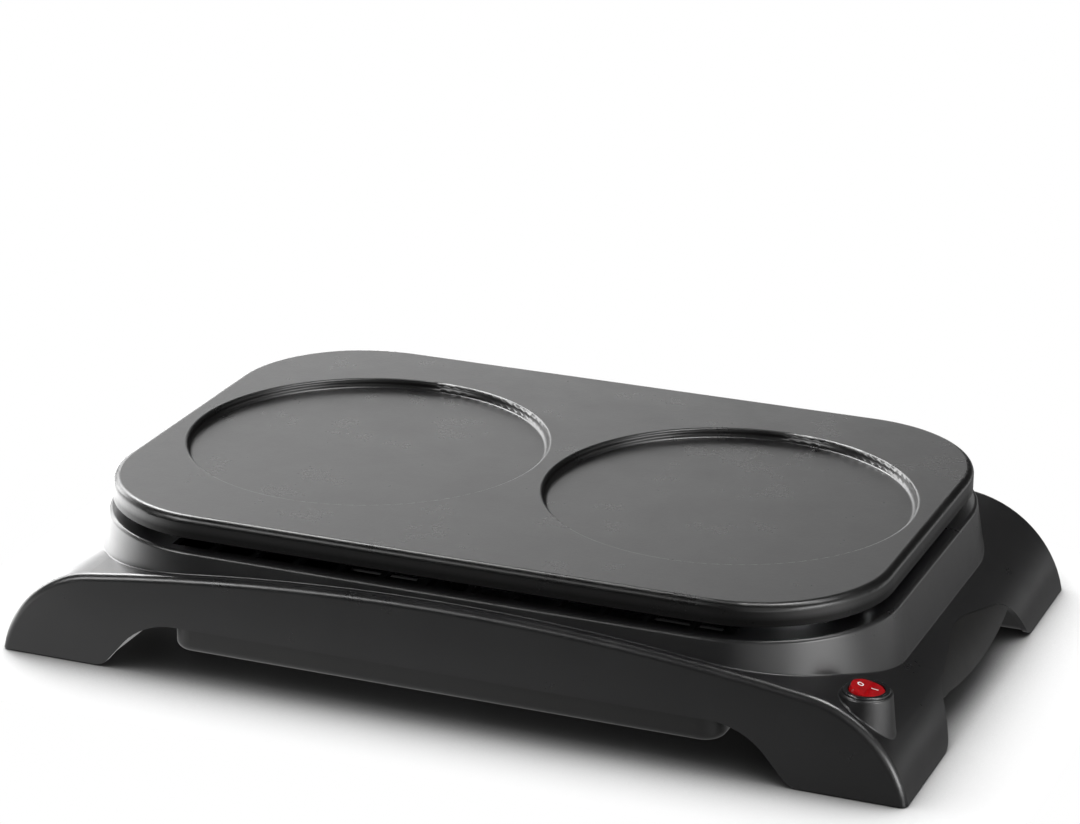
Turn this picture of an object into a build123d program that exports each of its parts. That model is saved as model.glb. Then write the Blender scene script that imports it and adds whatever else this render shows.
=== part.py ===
from build123d import *

import os
from math import cos, radians, sin, sqrt, tan

# Electric crepe maker: one cast plate with two round baking recesses on a bridge-shaped base.
# Millimetres. +X is right along the long side, +Y is the rear, +Z is up.
# The origin is the centre of the footprint, on the table.

# ---------------------------------------------------------------- driving dimensions
# Baking plate: the size of its recesses sets the rest of the machine
RECESS_RADIUS = 100.0
RECESS_DEPTH = 5.0
RECESS_SPACING = 12.4        # plate between the two recesses
RECESS_RIM_RADIUS = 2.0
RECESS_COVE_RADIUS = 2.5
PLATE_END_MARGIN = 13.1      # plate beyond a recess, at the ends
PLATE_SIDE_MARGIN = 46.0     # and at front and rear
PLATE_CORNER = 76.0
PLATE_HEIGHT = 12.0
PLATE_LIP = 4.0
PLATE_SKIRT = 4.5
PLATE_THICKNESS = 3.5
PLATE_AIR_GAP = 7.0          # between the plate's lower edge and the shoulder
PLATE_BOSS_RADIUS = 6.0
PLATE_BOSS_MARGINS = (14.3, 71.0)  # from the plate's end and side
PLATE_BOSS_DROP = 3.5        # boss below the skirt's lower edge

# Raised shoulder that carries the baking plate
RIM_MARGINS = (3.2, 2.0)     # rim beyond the plate, at the ends and at the sides
RIM_CORNER_STEP = 4.0
RIM_OVER_DECK = 4.5          # rim above the crown of the deck
RIM_DRAFT = 9.8              # degrees
RIM_EDGE_RADIUS = 2.2
RIM_ROOT_RADIUS = 0.8        # rounding between shoulder and deck, as far as the ridge leaves room
SHOULDER_FOOT = 38.0         # the drafted block ends inside the deck
LEDGE_LENGTH_WIDTH = 27.5    # ledge at the two ends
LEDGE_SIDE_WIDTH = 34.0      # ledge at front and rear, which holds the vents
VENT_ROW_MARGIN = 63.9       # from each end of the rim to the row of vents
VENT_RIB = 3.0
VENT_COUNT = 13
VENT_DEPTH = 16.5
VENT_TO_RIM = 7.5

# Base housing: an arched deck between two front and rear panels
BASE_END_REACH = 32.5        # feet beyond the rim, at table level
BASE_SIDE_REACH = 7.0        # panels beyond the rim
DECK_CROWN = 67.0            # deck height at the middle
END_RADIUS = 63.6            # rounded shoulder of each end, seen from the front
END_CENTRE_DROP = 11.0       # that arc's centre, below the table
RIDGE_RADIUS = 4.0           # rounding between deck and panels
WALL = 3.0
LEAST_FILLET = 0.1
HOUSING_LIFT = 0.8           # lower edge of the housing above the table

# Feet and the arched openings between them
FOOT_LENGTH = 61.5           # of each foot at the table, along the front
FOOT_DEPTH = 75.0            # and along the end
FRONT_ARCH_SLOPE = 25.0      # run of the leg from table to lintel
FRONT_ARCH_HEIGHT = 30.0
SIDE_ARCH_SLOPE = 16.5
SIDE_ARCH_SPRING = 26.0      # height where the leg turns into the crown
SIDE_ARCH_CROWN = 38.5
ARCH_TOE_RADIUS = 10.0
FRONT_HEAD_RADIUS = 40.0
SIDE_HEAD_RADIUS = 30.0
SIDE_CROWN_RADIUS = 90.0

# Bottom pan: four hollow feet and a belly between them
PAN_WALL = 2.5
PAN_GAP = 0.3                # to the housing all round
PAN_ARCH_STEP = 1.0          # arches of the pan stand inside those of the housing
BELLY_HEIGHT = 15.0          # underside of the belly above the table
BELLY_INSET = 1.5            # belly wall inside the housing wall
BELLY_FROM_FRONT_ARCH = 13.5  # belly inside the heads of the arches
BELLY_FROM_SIDE_ARCH = 2.5
BELLY_CORNER = 12.0
BELLY_EDGE_RADIUS = 4.0
BELLY_INNER_CORNER = 18.0
PAN_RIM = 34.0
PAN_TONGUE = 44.0            # higher rim behind each side arch
PAN_TONGUE_REACH = 6.5       # tongue beyond the arch's head
PAN_VENT = (40.0, 3.0)
PAN_VENT_PITCH = 8.0
PAN_VENT_COUNT = 7
PAN_VENT_X = 90.0

# Screw posts that join pan and housing
POST_RADIUS = 4.5
POST_FROM_RIM = 18.5
POST_FROM_BELLY = 16.0
POST_FROM_OPENING = 0.8
POST_GAP = 0.2
PAN_SCREW_RADIUS = 1.75
PAN_SCREW_HEAD = 3.6
PAN_SCREW_HEAD_HEIGHT = 2.2
PAN_SCREW_LENGTH = 14.0
SCREW_SLOT = 0.9

# Rubber feet
FOOT_MARGINS = (29.0, 36.0)  # from the base's end and side
FOOT_RADIUS = 9.0
FOOT_STEM_RADIUS = 3.0
FOOT_BARB_RADIUS = 4.2
FOOT_BARB_HEIGHT = 3.0

# Tubular heating elements under the recesses
ELEMENT_RADIUS = 3.25
ELEMENT_TO_RECESS = 28.0     # centre line inside the recess
ELEMENT_BEND = 10.0
ELEMENT_LEG_BEND = 8.0
ELEMENT_LEG_X = 24.0
ELEMENT_LEG_Y = 12.0
ELEMENT_LEG_DROP = 2.0       # sheath below the reflector's floor
ELEMENT_GAP = 0.05
CHANNEL_RIB = 2.0
CHANNEL_DEPTH = 3.0
CHANNEL_GAP = 0.3
CLIP_ANGLES = (90.0, 0.0, -90.0)
CLIP_WIDTH = 12.0
CLIP_SHEET = 1.0
CLIP_SCREW_RADIUS = 1.5
CLIP_SCREW_HEAD = 2.8
CLIP_SCREW_HEAD_HEIGHT = 1.6
CLIP_SCREW_LENGTH = 5.0
CLIP_OVERHANG = 2.0          # strap beyond the tube
CLIP_CORNER = 2.0
CLIP_BOSS_RADIUS = 4.0
CLIP_BOSS_INSET = 14.0       # screw inside the loop's centre line
INSULATOR_RADIUS = 4.2
INSULATOR_LENGTH = 6.0
INSULATOR_EDGE = 1.2
TAB_WIDTH = 6.3
TAB_SHEET = 0.8
TAB_LENGTH = 9.0
TAB_CHAMFER = 1.2
TAB_HOLE = 0.9

# Heat reflector: a pressed sheet pan between plate and base
REFLECTOR_SHEET = 0.8
REFLECTOR_DROP = 6.5         # floor below the ledge's underside
REFLECTOR_GAP = 0.6          # to the housing's opening
REFLECTOR_TO_PLATE = 0.5     # upper edge below the recess floors
REFLECTOR_EDGE_RADIUS = 3.0
REFLECTOR_EAR_WIDTH = 14.0
REFLECTOR_WINDOW = (66.0, 44.0)
REFLECTOR_WINDOW_CORNER = 6.0
PLATE_SCREW_RADIUS = 2.0
PLATE_SCREW_HEAD = 3.8
PLATE_SCREW_HEAD_HEIGHT = 2.4
PLATE_SCREW_LENGTH = 15.0
SCREW_GAP = 0.25             # hole around a screw

# Thermostat and thermal fuse at the middle of the plate
THERMOSTAT_RADIUS = 8.2
THERMOSTAT_CAP = 4.0
THERMOSTAT_BODY = 8.0
THERMOSTAT_PAD = 0.5         # pad on the plate, below the recess floors
THERMOSTAT_SCREW_Y = 13.5
THERMOSTAT_SCREW_LENGTH = 6.0
THERMOSTAT_CAP_SHEET = 0.8
THERMOSTAT_SPIGOT = 1.6      # body inside the cap
THERMOSTAT_TAB_INSET = 3.0
THERMOSTAT_FLANGE = 1.0
THERMOSTAT_RING = 2.5        # flange round the cap
FUSE_RADIUS = 2.0
FUSE_SLEEVE = 1.0
FUSE_LENGTH = 14.0
FUSE_EDGE = 0.6
FUSE_LEAD_RADIUS = 0.5
FUSE_LEAD = 8.0              # each lead beyond the case
FUSE_SLEEVE_REACH = 4.0      # sleeve beyond the case
FUSE_Y = 52.0
FUSE_CLIP_SHEET = 0.6
FUSE_CLIP_WIDTH = 8.0
FUSE_CLIP_SCREW_X = 8.0
FUSE_CLIP_SCREW_DEPTH = 1.5  # hole above the plate's underside

# Rocker switch in its boss on the deck, front right
SWITCH_MARGINS = (28.6, 19.6)  # from the base's end and front
BOSS_TOP = 51.2
BOSS_RADIUS = 13.3
BOSS_DRAFT = 6.0             # degrees
BOSS_WALL = 1.8
BOSS_PANEL = 2.2
BOSS_FOOT = 24.0
BOSS_EDGE_RADIUS = 1.2
BOSS_ROOT_RADIUS = 0.8
SWITCH_BARREL = 10.6
SWITCH_HOLE_GAP = 0.1
SWITCH_BEZEL = 12.1
SWITCH_BEZEL_HEIGHT = 1.2
SWITCH_DEPTH = 16.0
SWITCH_FLOOR = 1.5
SNAP_TONGUE = (1.0, 5.0, 3.6)
SNAP_DROP = 2.2              # middle of the tongues below the panel
ROCKER_RADIUS = 9.25
ROCKER_GAP = 0.3
ROCKER_PIVOT_DROP = 1.0      # pivot below the boss top
ROCKER_THROW = 26.0          # degrees between on and off
ROCKER_SLOPE = 5.0           # rise of each half from the crease
ROCKER_RISE = 2.4            # each half above the pivot
ROCKER_SKIRT = 4.5
ROCKER_WALL = 1.6
ROCKER_CEILING = 0.2         # underside of the halves, over the pivot
PIVOT_RADIUS = 1.2
PIVOT_CLEARANCE = 0.05
STEM_RADIUS = 2.6
PLUNGER_RADIUS = 1.5
PLUNGER_CLEARANCE = 0.06
PLUNGER_BORE_TOP = -0.5      # heights below are from the pivot
PLUNGER_TOP = -2.5
PLUNGER_TIP = -9.0
SPRING_RADIUS = 1.1          # of the coil's centre line
SPRING_WIRE = 0.2            # radius
SPRING_TURNS = 3
SEESAW_LENGTH = 15.4
SEESAW_WIDTH = 3.6
SEESAW_SHEET = 0.6
SEESAW_TILT = 6.5            # degrees at rest
SEESAW_DROP = 9.4            # strip below the pivot
CONTACT_RADIUS = 1.0
CONTACT_DROP = 0.6           # silver contact below the strip
CONTACT_GAP = 0.05
TERMINAL_PITCH = 6.5
TERMINAL_WIDTH = 4.8
FULCRUM_RADIUS = 0.35
LAMP_RADIUS = 1.9
LAMP_LENGTH = 9.0
LAMP_Y = 5.4

# Cord gland in the rear panel and the terminal block behind it
GLAND_FROM_END = 135.0
GLAND_HEIGHT = 45.0
GLAND_BORE = 3.7
GLAND_COLLAR = 6.4
GLAND_FLANGE = 9.5
GLAND_FLANGE_THICKNESS = 2.5
GLAND_TAIL = 9.0
GLAND_GAP = 0.1
GLAND_SINK = 0.3             # collar below the panel's face
BLOCK_FROM_GLAND = 50.0
BLOCK_FROM_REAR = 59.0
BLOCK_SIZE = (30.0, 16.0, 12.0)
BLOCK_WAYS = 3
BLOCK_PITCH = 9.5
BLOCK_CORNER = 1.5
BLOCK_BORE = 2.2
BLOCK_SCREW_RADIUS = 1.8
BLOCK_SCREW_DEPTH = 4.0
BLOCK_SCREW_SINK = 0.5
BLOCK_SLOT = (0.6, 1.2)

# ---------------------------------------------------------------- derived places
RECESS_X = RECESS_RADIUS + RECESS_SPACING / 2
PLATE_LENGTH = 2 * (RECESS_X + RECESS_RADIUS + PLATE_END_MARGIN)
PLATE_DEPTH = 2 * (RECESS_RADIUS + PLATE_SIDE_MARGIN)
RIM_LENGTH = PLATE_LENGTH + 2 * RIM_MARGINS[0]
RIM_DEPTH = PLATE_DEPTH + 2 * RIM_MARGINS[1]
RIM_CORNER = PLATE_CORNER + RIM_CORNER_STEP
RIM_HEIGHT = DECK_CROWN + RIM_OVER_DECK
LEDGE_UNDER = RIM_HEIGHT - WALL
OPENING_LENGTH = RIM_LENGTH - 2 * LEDGE_LENGTH_WIDTH
OPENING_DEPTH = RIM_DEPTH - 2 * LEDGE_SIDE_WIDTH
OPENING_CORNER = RIM_CORNER - LEDGE_LENGTH_WIDTH
VENT_PITCH = (RIM_LENGTH - 2 * VENT_ROW_MARGIN) / VENT_COUNT

BASE_LENGTH = RIM_LENGTH + 2 * BASE_END_REACH
BASE_DEPTH = RIM_DEPTH + 2 * BASE_SIDE_REACH
END_X = BASE_LENGTH / 2 - sqrt(END_RADIUS**2 - END_CENTRE_DROP**2)
CROWN_OVER_CENTRE = DECK_CROWN + END_CENTRE_DROP
DECK_RADIUS = (END_X**2 + CROWN_OVER_CENTRE**2 - END_RADIUS**2) / (2 * (CROWN_OVER_CENTRE - END_RADIUS))
RIM_STRAIGHT_X = RIM_LENGTH / 2 - RIM_CORNER
DECK_AT_CORNER = DECK_CROWN - DECK_RADIUS + sqrt(DECK_RADIUS**2 - RIM_STRAIGHT_X**2)
RIM_SPREAD = (RIM_HEIGHT - DECK_AT_CORNER) * tan(radians(RIM_DRAFT))
RIM_ROOT = min(RIM_ROOT_RADIUS, BASE_SIDE_REACH - RIDGE_RADIUS - RIM_SPREAD)
FRONT_ARCH_FOOT = BASE_LENGTH / 2 - FOOT_LENGTH
FRONT_ARCH_HEAD = FRONT_ARCH_FOOT - FRONT_ARCH_SLOPE
SIDE_ARCH_FOOT = BASE_DEPTH / 2 - FOOT_DEPTH
SIDE_ARCH_HEAD = SIDE_ARCH_FOOT - SIDE_ARCH_SLOPE

PAN_INSET = WALL + PAN_GAP
PAN_LIFT = HOUSING_LIFT + PAN_ARCH_STEP
PAN_TONGUE_HALF = SIDE_ARCH_HEAD + PAN_TONGUE_REACH
BELLY_HALF_LENGTH = FRONT_ARCH_HEAD - BELLY_FROM_FRONT_ARCH
BELLY_HALF_DEPTH = SIDE_ARCH_HEAD - BELLY_FROM_SIDE_ARCH
BELLY_FLOOR = BELLY_HEIGHT + PAN_WALL
FOOT_X = BASE_LENGTH / 2 - FOOT_MARGINS[0]
FOOT_Y = BASE_DEPTH / 2 - FOOT_MARGINS[1]
POST_X = RIM_LENGTH / 2 - POST_FROM_RIM
POST_Y = BELLY_HALF_DEPTH - POST_FROM_BELLY
MIDDLE_POST_Y = OPENING_DEPTH / 2 + POST_RADIUS + POST_FROM_OPENING

PLATE_BOTTOM = RIM_HEIGHT + PLATE_AIR_GAP
PLATE_TOP = PLATE_BOTTOM + PLATE_HEIGHT
PLATE_UNDER = PLATE_TOP - PLATE_THICKNESS
RECESS_FLOOR = PLATE_TOP - RECESS_DEPTH
RECESS_UNDER = RECESS_FLOOR - PLATE_THICKNESS
PLATE_BOSS_X = PLATE_LENGTH / 2 - PLATE_BOSS_MARGINS[0]
PLATE_BOSS_Y = PLATE_DEPTH / 2 - PLATE_BOSS_MARGINS[1]
PLATE_BOSS_BOTTOM = PLATE_BOTTOM - PLATE_BOSS_DROP
REFLECTOR_FLOOR = LEDGE_UNDER - REFLECTOR_DROP
EAR_Z = PLATE_BOSS_BOTTOM - REFLECTOR_SHEET
ELEMENT_LOOP = RECESS_RADIUS - ELEMENT_TO_RECESS
ELEMENT_Z = RECESS_UNDER - ELEMENT_RADIUS - ELEMENT_GAP
ELEMENT_LEG_END = REFLECTOR_FLOOR - ELEMENT_LEG_DROP
THERMOSTAT_TOP = RECESS_UNDER - THERMOSTAT_PAD
FUSE_Z = PLATE_UNDER - FUSE_RADIUS - FUSE_SLEEVE

SWITCH_X = BASE_LENGTH / 2 - SWITCH_MARGINS[0]
SWITCH_Y = SWITCH_MARGINS[1] - BASE_DEPTH / 2
SWITCH_AXIS = Pos(SWITCH_X, SWITCH_Y, 0)
PIVOT_Z = BOSS_TOP - ROCKER_PIVOT_DROP
SEESAW_Z = PIVOT_Z - SEESAW_DROP
SWITCH_BOTTOM = BOSS_TOP - SWITCH_DEPTH
GLAND_X = BASE_LENGTH / 2 - GLAND_FROM_END
BLOCK_X = GLAND_X - BLOCK_FROM_GLAND
BLOCK_Y = BASE_DEPTH / 2 - BLOCK_FROM_REAR


# ---------------------------------------------------------------- shared shapes
def disc(radius, low, high, x=0.0, y=0.0):
    """Upright cylinder between two heights."""
    return Pos(x, y, low) * Cylinder(radius, high - low, align=(Align.CENTER, Align.CENTER, Align.MIN))


def block(x_span, y_span, z_span):
    """Box between three pairs of limits."""
    low = (x_span[0], y_span[0], z_span[0])
    size = (x_span[1] - x_span[0], y_span[1] - y_span[0], z_span[1] - z_span[0])
    return Pos(*low) * Box(*size, align=(Align.MIN, Align.MIN, Align.MIN))


def rounded_prism(length, depth, corner, low, high):
    """Upright prism with a rounded rectangle as its plan."""
    plan = Pos(0, 0, low) * RectangleRounded(length, depth, corner)
    return extrude(plan, amount=high - low)


def screw(head_radius, head_height, radius, length):
    """Pan-head screw, head down, shank up from the origin, with a cross slot."""
    head = Pos(0, 0, -head_height) * Cylinder(
        head_radius, head_height, align=(Align.CENTER, Align.CENTER, Align.MIN)
    )
    head = fillet(head.edges().sort_by(Axis.Z)[0], head_height * 0.45)
    for turn in (0, 90):
        head -= Pos(0, 0, -head_height) * Rot(0, 0, turn) * Box(head_radius * 1.2, SCREW_SLOT, head_height)
    return head + disc(radius, 0, length)


def bridge_body(inset, bottom):
    """The base's outer form, moved inwards by inset and cut off at the height bottom."""
    end_radius = END_RADIUS - inset
    deck_radius = DECK_RADIUS - inset
    deck_centre = DECK_CROWN - DECK_RADIUS
    run, rise = END_X, -END_CENTRE_DROP - deck_centre
    reach = sqrt(run**2 + rise**2)
    join_x, join_z = run * deck_radius / reach, deck_centre + rise * deck_radius / reach
    foot_x = END_X + sqrt(end_radius**2 - (bottom + END_CENTRE_DROP) ** 2)
    mid_x = END_X + end_radius * cos(radians(45))
    mid_z = -END_CENTRE_DROP + end_radius * sin(radians(45))
    crown = (0, deck_centre + deck_radius)
    outline = Curve() + [
        ThreePointArc((-foot_x, bottom), (-mid_x, mid_z), (-join_x, join_z)),
        ThreePointArc((-join_x, join_z), crown, (join_x, join_z)),
        ThreePointArc((join_x, join_z), (mid_x, mid_z), (foot_x, bottom)),
        Line((foot_x, bottom), (-foot_x, bottom)),
    ]
    half_depth = BASE_DEPTH / 2 - inset
    body = extrude(Plane.XZ * make_face(outline), amount=half_depth, both=True)
    ridge = RIDGE_RADIUS - inset
    if ridge > 0.5:
        panels = [body.faces().sort_by(Axis.Y)[0], body.faces().sort_by(Axis.Y)[-1]]
        edges = [edge for panel in panels for edge in panel.edges() if edge.geom_type == GeomType.CIRCLE]
        body = fillet(edges, ridge)
    return body


def arch_void(corners, radii, grow, plane, reach):
    """The space under an arch: a filleted half outline, mirrored, pushed through along the plane's normal."""
    outer_x = corners[0][0] * 1.2
    right = [(outer_x, HOUSING_LIFT)] + corners
    if corners[-1][0] == 0:
        points = right + [(-x, z) for x, z in reversed(right[:-1])]
        bends = radii + radii[-2::-1]
    else:
        points = right + [(-x, z) for x, z in reversed(right)]
        bends = radii + radii[::-1]
    below = -4 * PAN_WALL
    line = FilletPolyline(*points, radius=bends)
    outline = Curve() + [
        line,
        Line((-outer_x, HOUSING_LIFT), (-outer_x, below)),
        Line((-outer_x, below), (outer_x, below)),
        Line((outer_x, below), (outer_x, HOUSING_LIFT)),
    ]
    face = make_face(outline)
    if grow > 0:
        face = offset(face, amount=grow, kind=Kind.INTERSECTION)
    return extrude(plane * face, amount=reach, both=True)


def front_arch(grow):
    """Opening between the feet, running from front to rear."""
    corners = [(FRONT_ARCH_FOOT, HOUSING_LIFT), (FRONT_ARCH_HEAD, FRONT_ARCH_HEIGHT)]
    return arch_void(corners, [ARCH_TOE_RADIUS, FRONT_HEAD_RADIUS], grow, Plane.XZ, BASE_DEPTH)


def side_arch(grow):
    """Opening between the feet, running from side to side."""
    corners = [
        (SIDE_ARCH_FOOT, HOUSING_LIFT),
        (SIDE_ARCH_HEAD, SIDE_ARCH_SPRING),
        (0, SIDE_ARCH_CROWN),
    ]
    bends = [ARCH_TOE_RADIUS, SIDE_HEAD_RADIUS, SIDE_CROWN_RADIUS]
    return arch_void(corners, bends, grow, Plane.YZ, BASE_LENGTH)


def shoulder_block(inset, top, bottom):
    """Drafted block under the plate, widening downwards and kept inside the front and rear ridges."""
    slope = tan(radians(RIM_DRAFT))
    spread = (RIM_HEIGHT - top) * slope - inset
    length, depth, corner = RIM_LENGTH + 2 * spread, RIM_DEPTH + 2 * spread, RIM_CORNER + spread
    plan = Pos(0, 0, top) * RectangleRounded(length, depth, corner)
    block = extrude(plan, amount=top - bottom, dir=(0, 0, -1), taper=-RIM_DRAFT)
    return block & Box(BASE_LENGTH, BASE_DEPTH - 2 * (RIDGE_RADIUS + inset), 2 * RIM_HEIGHT)


# ---------------------------------------------------------------- housing and pan
def post_places():
    corners = [(x * POST_X, y * POST_Y) for x in (-1, 1) for y in (-1, 1)]
    return corners + [(0, -MIDDLE_POST_Y), (0, MIDDLE_POST_Y)]


def base_housing():
    """Upper moulding: bridge-shaped shell, raised shoulder, vented ledge, switch boss and screw posts."""
    shoulder = shoulder_block(0, RIM_HEIGHT, SHOULDER_FOOT)
    shoulder = fillet(shoulder.faces().sort_by(Axis.Z)[-1].edges(), RIM_EDGE_RADIUS)
    boss_spread = (BOSS_TOP - BOSS_FOOT) * tan(radians(BOSS_DRAFT))
    boss = SWITCH_AXIS * Pos(0, 0, BOSS_FOOT) * Cone(
        BOSS_RADIUS + boss_spread,
        BOSS_RADIUS,
        BOSS_TOP - BOSS_FOOT,
        align=(Align.CENTER, Align.CENTER, Align.MIN),
    )
    boss = fillet(boss.edges().sort_by(Axis.Z)[-1], BOSS_EDGE_RADIUS)
    bridge = bridge_body(0, HOUSING_LIFT)
    body = bridge + shoulder
    if RIM_ROOT > LEAST_FILLET:
        body = fillet(new_edges(bridge, shoulder, combined=body), RIM_ROOT)
    deck = body
    body = deck + boss
    body = fillet(new_edges(deck, boss, combined=body), BOSS_ROOT_RADIUS)

    body -= bridge_body(WALL, -WALL)
    body -= shoulder_block(WALL, LEDGE_UNDER, SHOULDER_FOOT)
    body -= rounded_prism(OPENING_LENGTH, OPENING_DEPTH, OPENING_CORNER, LEDGE_UNDER - 1, RIM_HEIGHT + 1)
    body -= SWITCH_AXIS * disc(BOSS_RADIUS - BOSS_WALL, BOSS_FOOT, BOSS_TOP - BOSS_PANEL)
    body -= SWITCH_AXIS * disc(SWITCH_BARREL + SWITCH_HOLE_GAP, BOSS_FOOT, BOSS_TOP + 1)
    body -= front_arch(0)
    body -= side_arch(0)

    vent_y = RIM_DEPTH / 2 - VENT_TO_RIM - VENT_DEPTH / 2
    for side in (-1, 1):
        for index in range(VENT_COUNT):
            x = (index - (VENT_COUNT - 1) / 2) * VENT_PITCH
            body -= Pos(x, side * vent_y, RIM_HEIGHT) * Box(VENT_PITCH - VENT_RIB, VENT_DEPTH, 4 * WALL)
    for x, y in post_places():
        body += disc(POST_RADIUS, BELLY_FLOOR + POST_GAP, LEDGE_UNDER + 0.5, x, y)
    for x, y in post_places():
        body -= disc(PAN_SCREW_RADIUS, BELLY_FLOOR, BELLY_FLOOR + PAN_SCREW_LENGTH, x, y)
    for x, y in plate_boss_places():
        body -= disc(PLATE_SCREW_RADIUS + SCREW_GAP, LEDGE_UNDER - 1, RIM_HEIGHT + 1, x, y)
    body -= Pos(GLAND_X, BASE_DEPTH / 2, GLAND_HEIGHT) * Rot(90, 0, 0) * Cylinder(
        GLAND_COLLAR + GLAND_GAP, 4 * WALL
    )
    return body


def belly_block(inset):
    """Cross-shaped belly between the feet, with rounded corners and a rounded lower edge."""
    shell_inset = WALL + BELLY_INSET + inset
    low = BELLY_HEIGHT + inset
    half_x = END_X + sqrt((END_RADIUS - shell_inset) ** 2 - (low + END_CENTRE_DROP) ** 2)
    half_y = BASE_DEPTH / 2 - shell_inset
    arm_x, arm_y = BELLY_HALF_LENGTH - inset, BELLY_HALF_DEPTH - inset
    plan = Rectangle(2 * arm_x, 2 * half_y) + Rectangle(2 * half_x, 2 * arm_y)
    inner = [v for v in plan.vertices() if abs(v.X) < arm_x + 1 and abs(v.Y) < arm_y + 1]
    plan = fillet(inner, BELLY_INNER_CORNER + inset)
    outer = [v for v in plan.vertices() if abs(v.X) > half_x - 1 or abs(v.Y) > half_y - 1]
    plan = fillet(outer, BELLY_CORNER - inset)
    prism = extrude(Pos(0, 0, low) * plan, amount=DECK_CROWN - low)
    prism = fillet(prism.faces().sort_by(Axis.Z)[0].edges(), BELLY_EDGE_RADIUS - inset)
    return prism & bridge_body(shell_inset, low - 1)


def bottom_pan():
    """Lower moulding: four hollow feet, an S-shaped wall at each and the belly, all one even wall."""
    outer = bridge_body(PAN_INSET, PAN_LIFT) - front_arch(PAN_ARCH_STEP) - side_arch(PAN_ARCH_STEP)
    outer += belly_block(0)
    step = PAN_ARCH_STEP + PAN_WALL
    inner = bridge_body(PAN_INSET + PAN_WALL, PAN_LIFT + PAN_WALL) - front_arch(step) - side_arch(step)
    inner += belly_block(PAN_WALL)
    pan = outer - inner
    far = BASE_LENGTH
    pan -= block((-far, far), (-far, far), (PAN_TONGUE, far))
    for side in (-1, 1):
        span = sorted((side * PAN_TONGUE_HALF, side * far))
        pan -= block((-far, far), span, (PAN_RIM, far))
    for x, y in post_places():
        pan -= disc(PAN_SCREW_RADIUS + SCREW_GAP, 0, BELLY_FLOOR + 1, x, y)
    for x, y in foot_places():
        pan -= disc(FOOT_STEM_RADIUS, 0, PAN_LIFT + PAN_WALL + 1, x, y)
    pan -= SWITCH_AXIS * disc(BOSS_RADIUS - BOSS_WALL, BOSS_FOOT - 2 * PAN_WALL, PAN_RIM + 1)
    for side in (-1, 1):
        for index in range(PAN_VENT_COUNT):
            y = (index - (PAN_VENT_COUNT - 1) / 2) * PAN_VENT_PITCH
            pan -= Pos(side * PAN_VENT_X, y, BELLY_HEIGHT) * Box(*PAN_VENT, 4 * PAN_WALL)
    return pan


def pan_screws():
    """Self-tapping screws from below into the housing's posts."""
    one = screw(PAN_SCREW_HEAD, PAN_SCREW_HEAD_HEIGHT, PAN_SCREW_RADIUS, PAN_SCREW_LENGTH)
    return [Pos(x, y, BELLY_HEIGHT) * one for x, y in post_places()]


def foot_places():
    return [(x * FOOT_X, y * FOOT_Y) for x in (-1, 1) for y in (-1, 1)]


def rubber_feet():
    """Mushroom-shaped feet pulled through a hole in each foot of the pan."""
    top = PAN_LIFT + PAN_WALL
    pad = disc(FOOT_RADIUS, 0, PAN_LIFT)
    pad = fillet(pad.edges().sort_by(Axis.Z)[0], PAN_LIFT * 0.4)
    one = pad + disc(FOOT_STEM_RADIUS, PAN_LIFT, top)
    barb = Pos(0, 0, top) * Cone(
        FOOT_BARB_RADIUS,
        FOOT_STEM_RADIUS * 0.6,
        FOOT_BARB_HEIGHT,
        align=(Align.CENTER, Align.CENTER, Align.MIN),
    )
    one += barb
    return [Pos(x, y, 0) * one for x, y in foot_places()]


# ---------------------------------------------------------------- plate and heating
def plate_boss_places():
    return [(x * PLATE_BOSS_X, y * PLATE_BOSS_Y) for x in (-1, 1) for y in (-1, 1)]


def clip_places():
    """Screw place of each element clip, with the direction outwards across the tube."""
    places = []
    for side in (-1, 1):
        for angle in CLIP_ANGLES:
            along = (side * cos(radians(angle)), sin(radians(angle)))
            reach = ELEMENT_LOOP - CLIP_BOSS_INSET
            places.append((side * RECESS_X + reach * along[0], reach * along[1], along))
    return places


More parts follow.
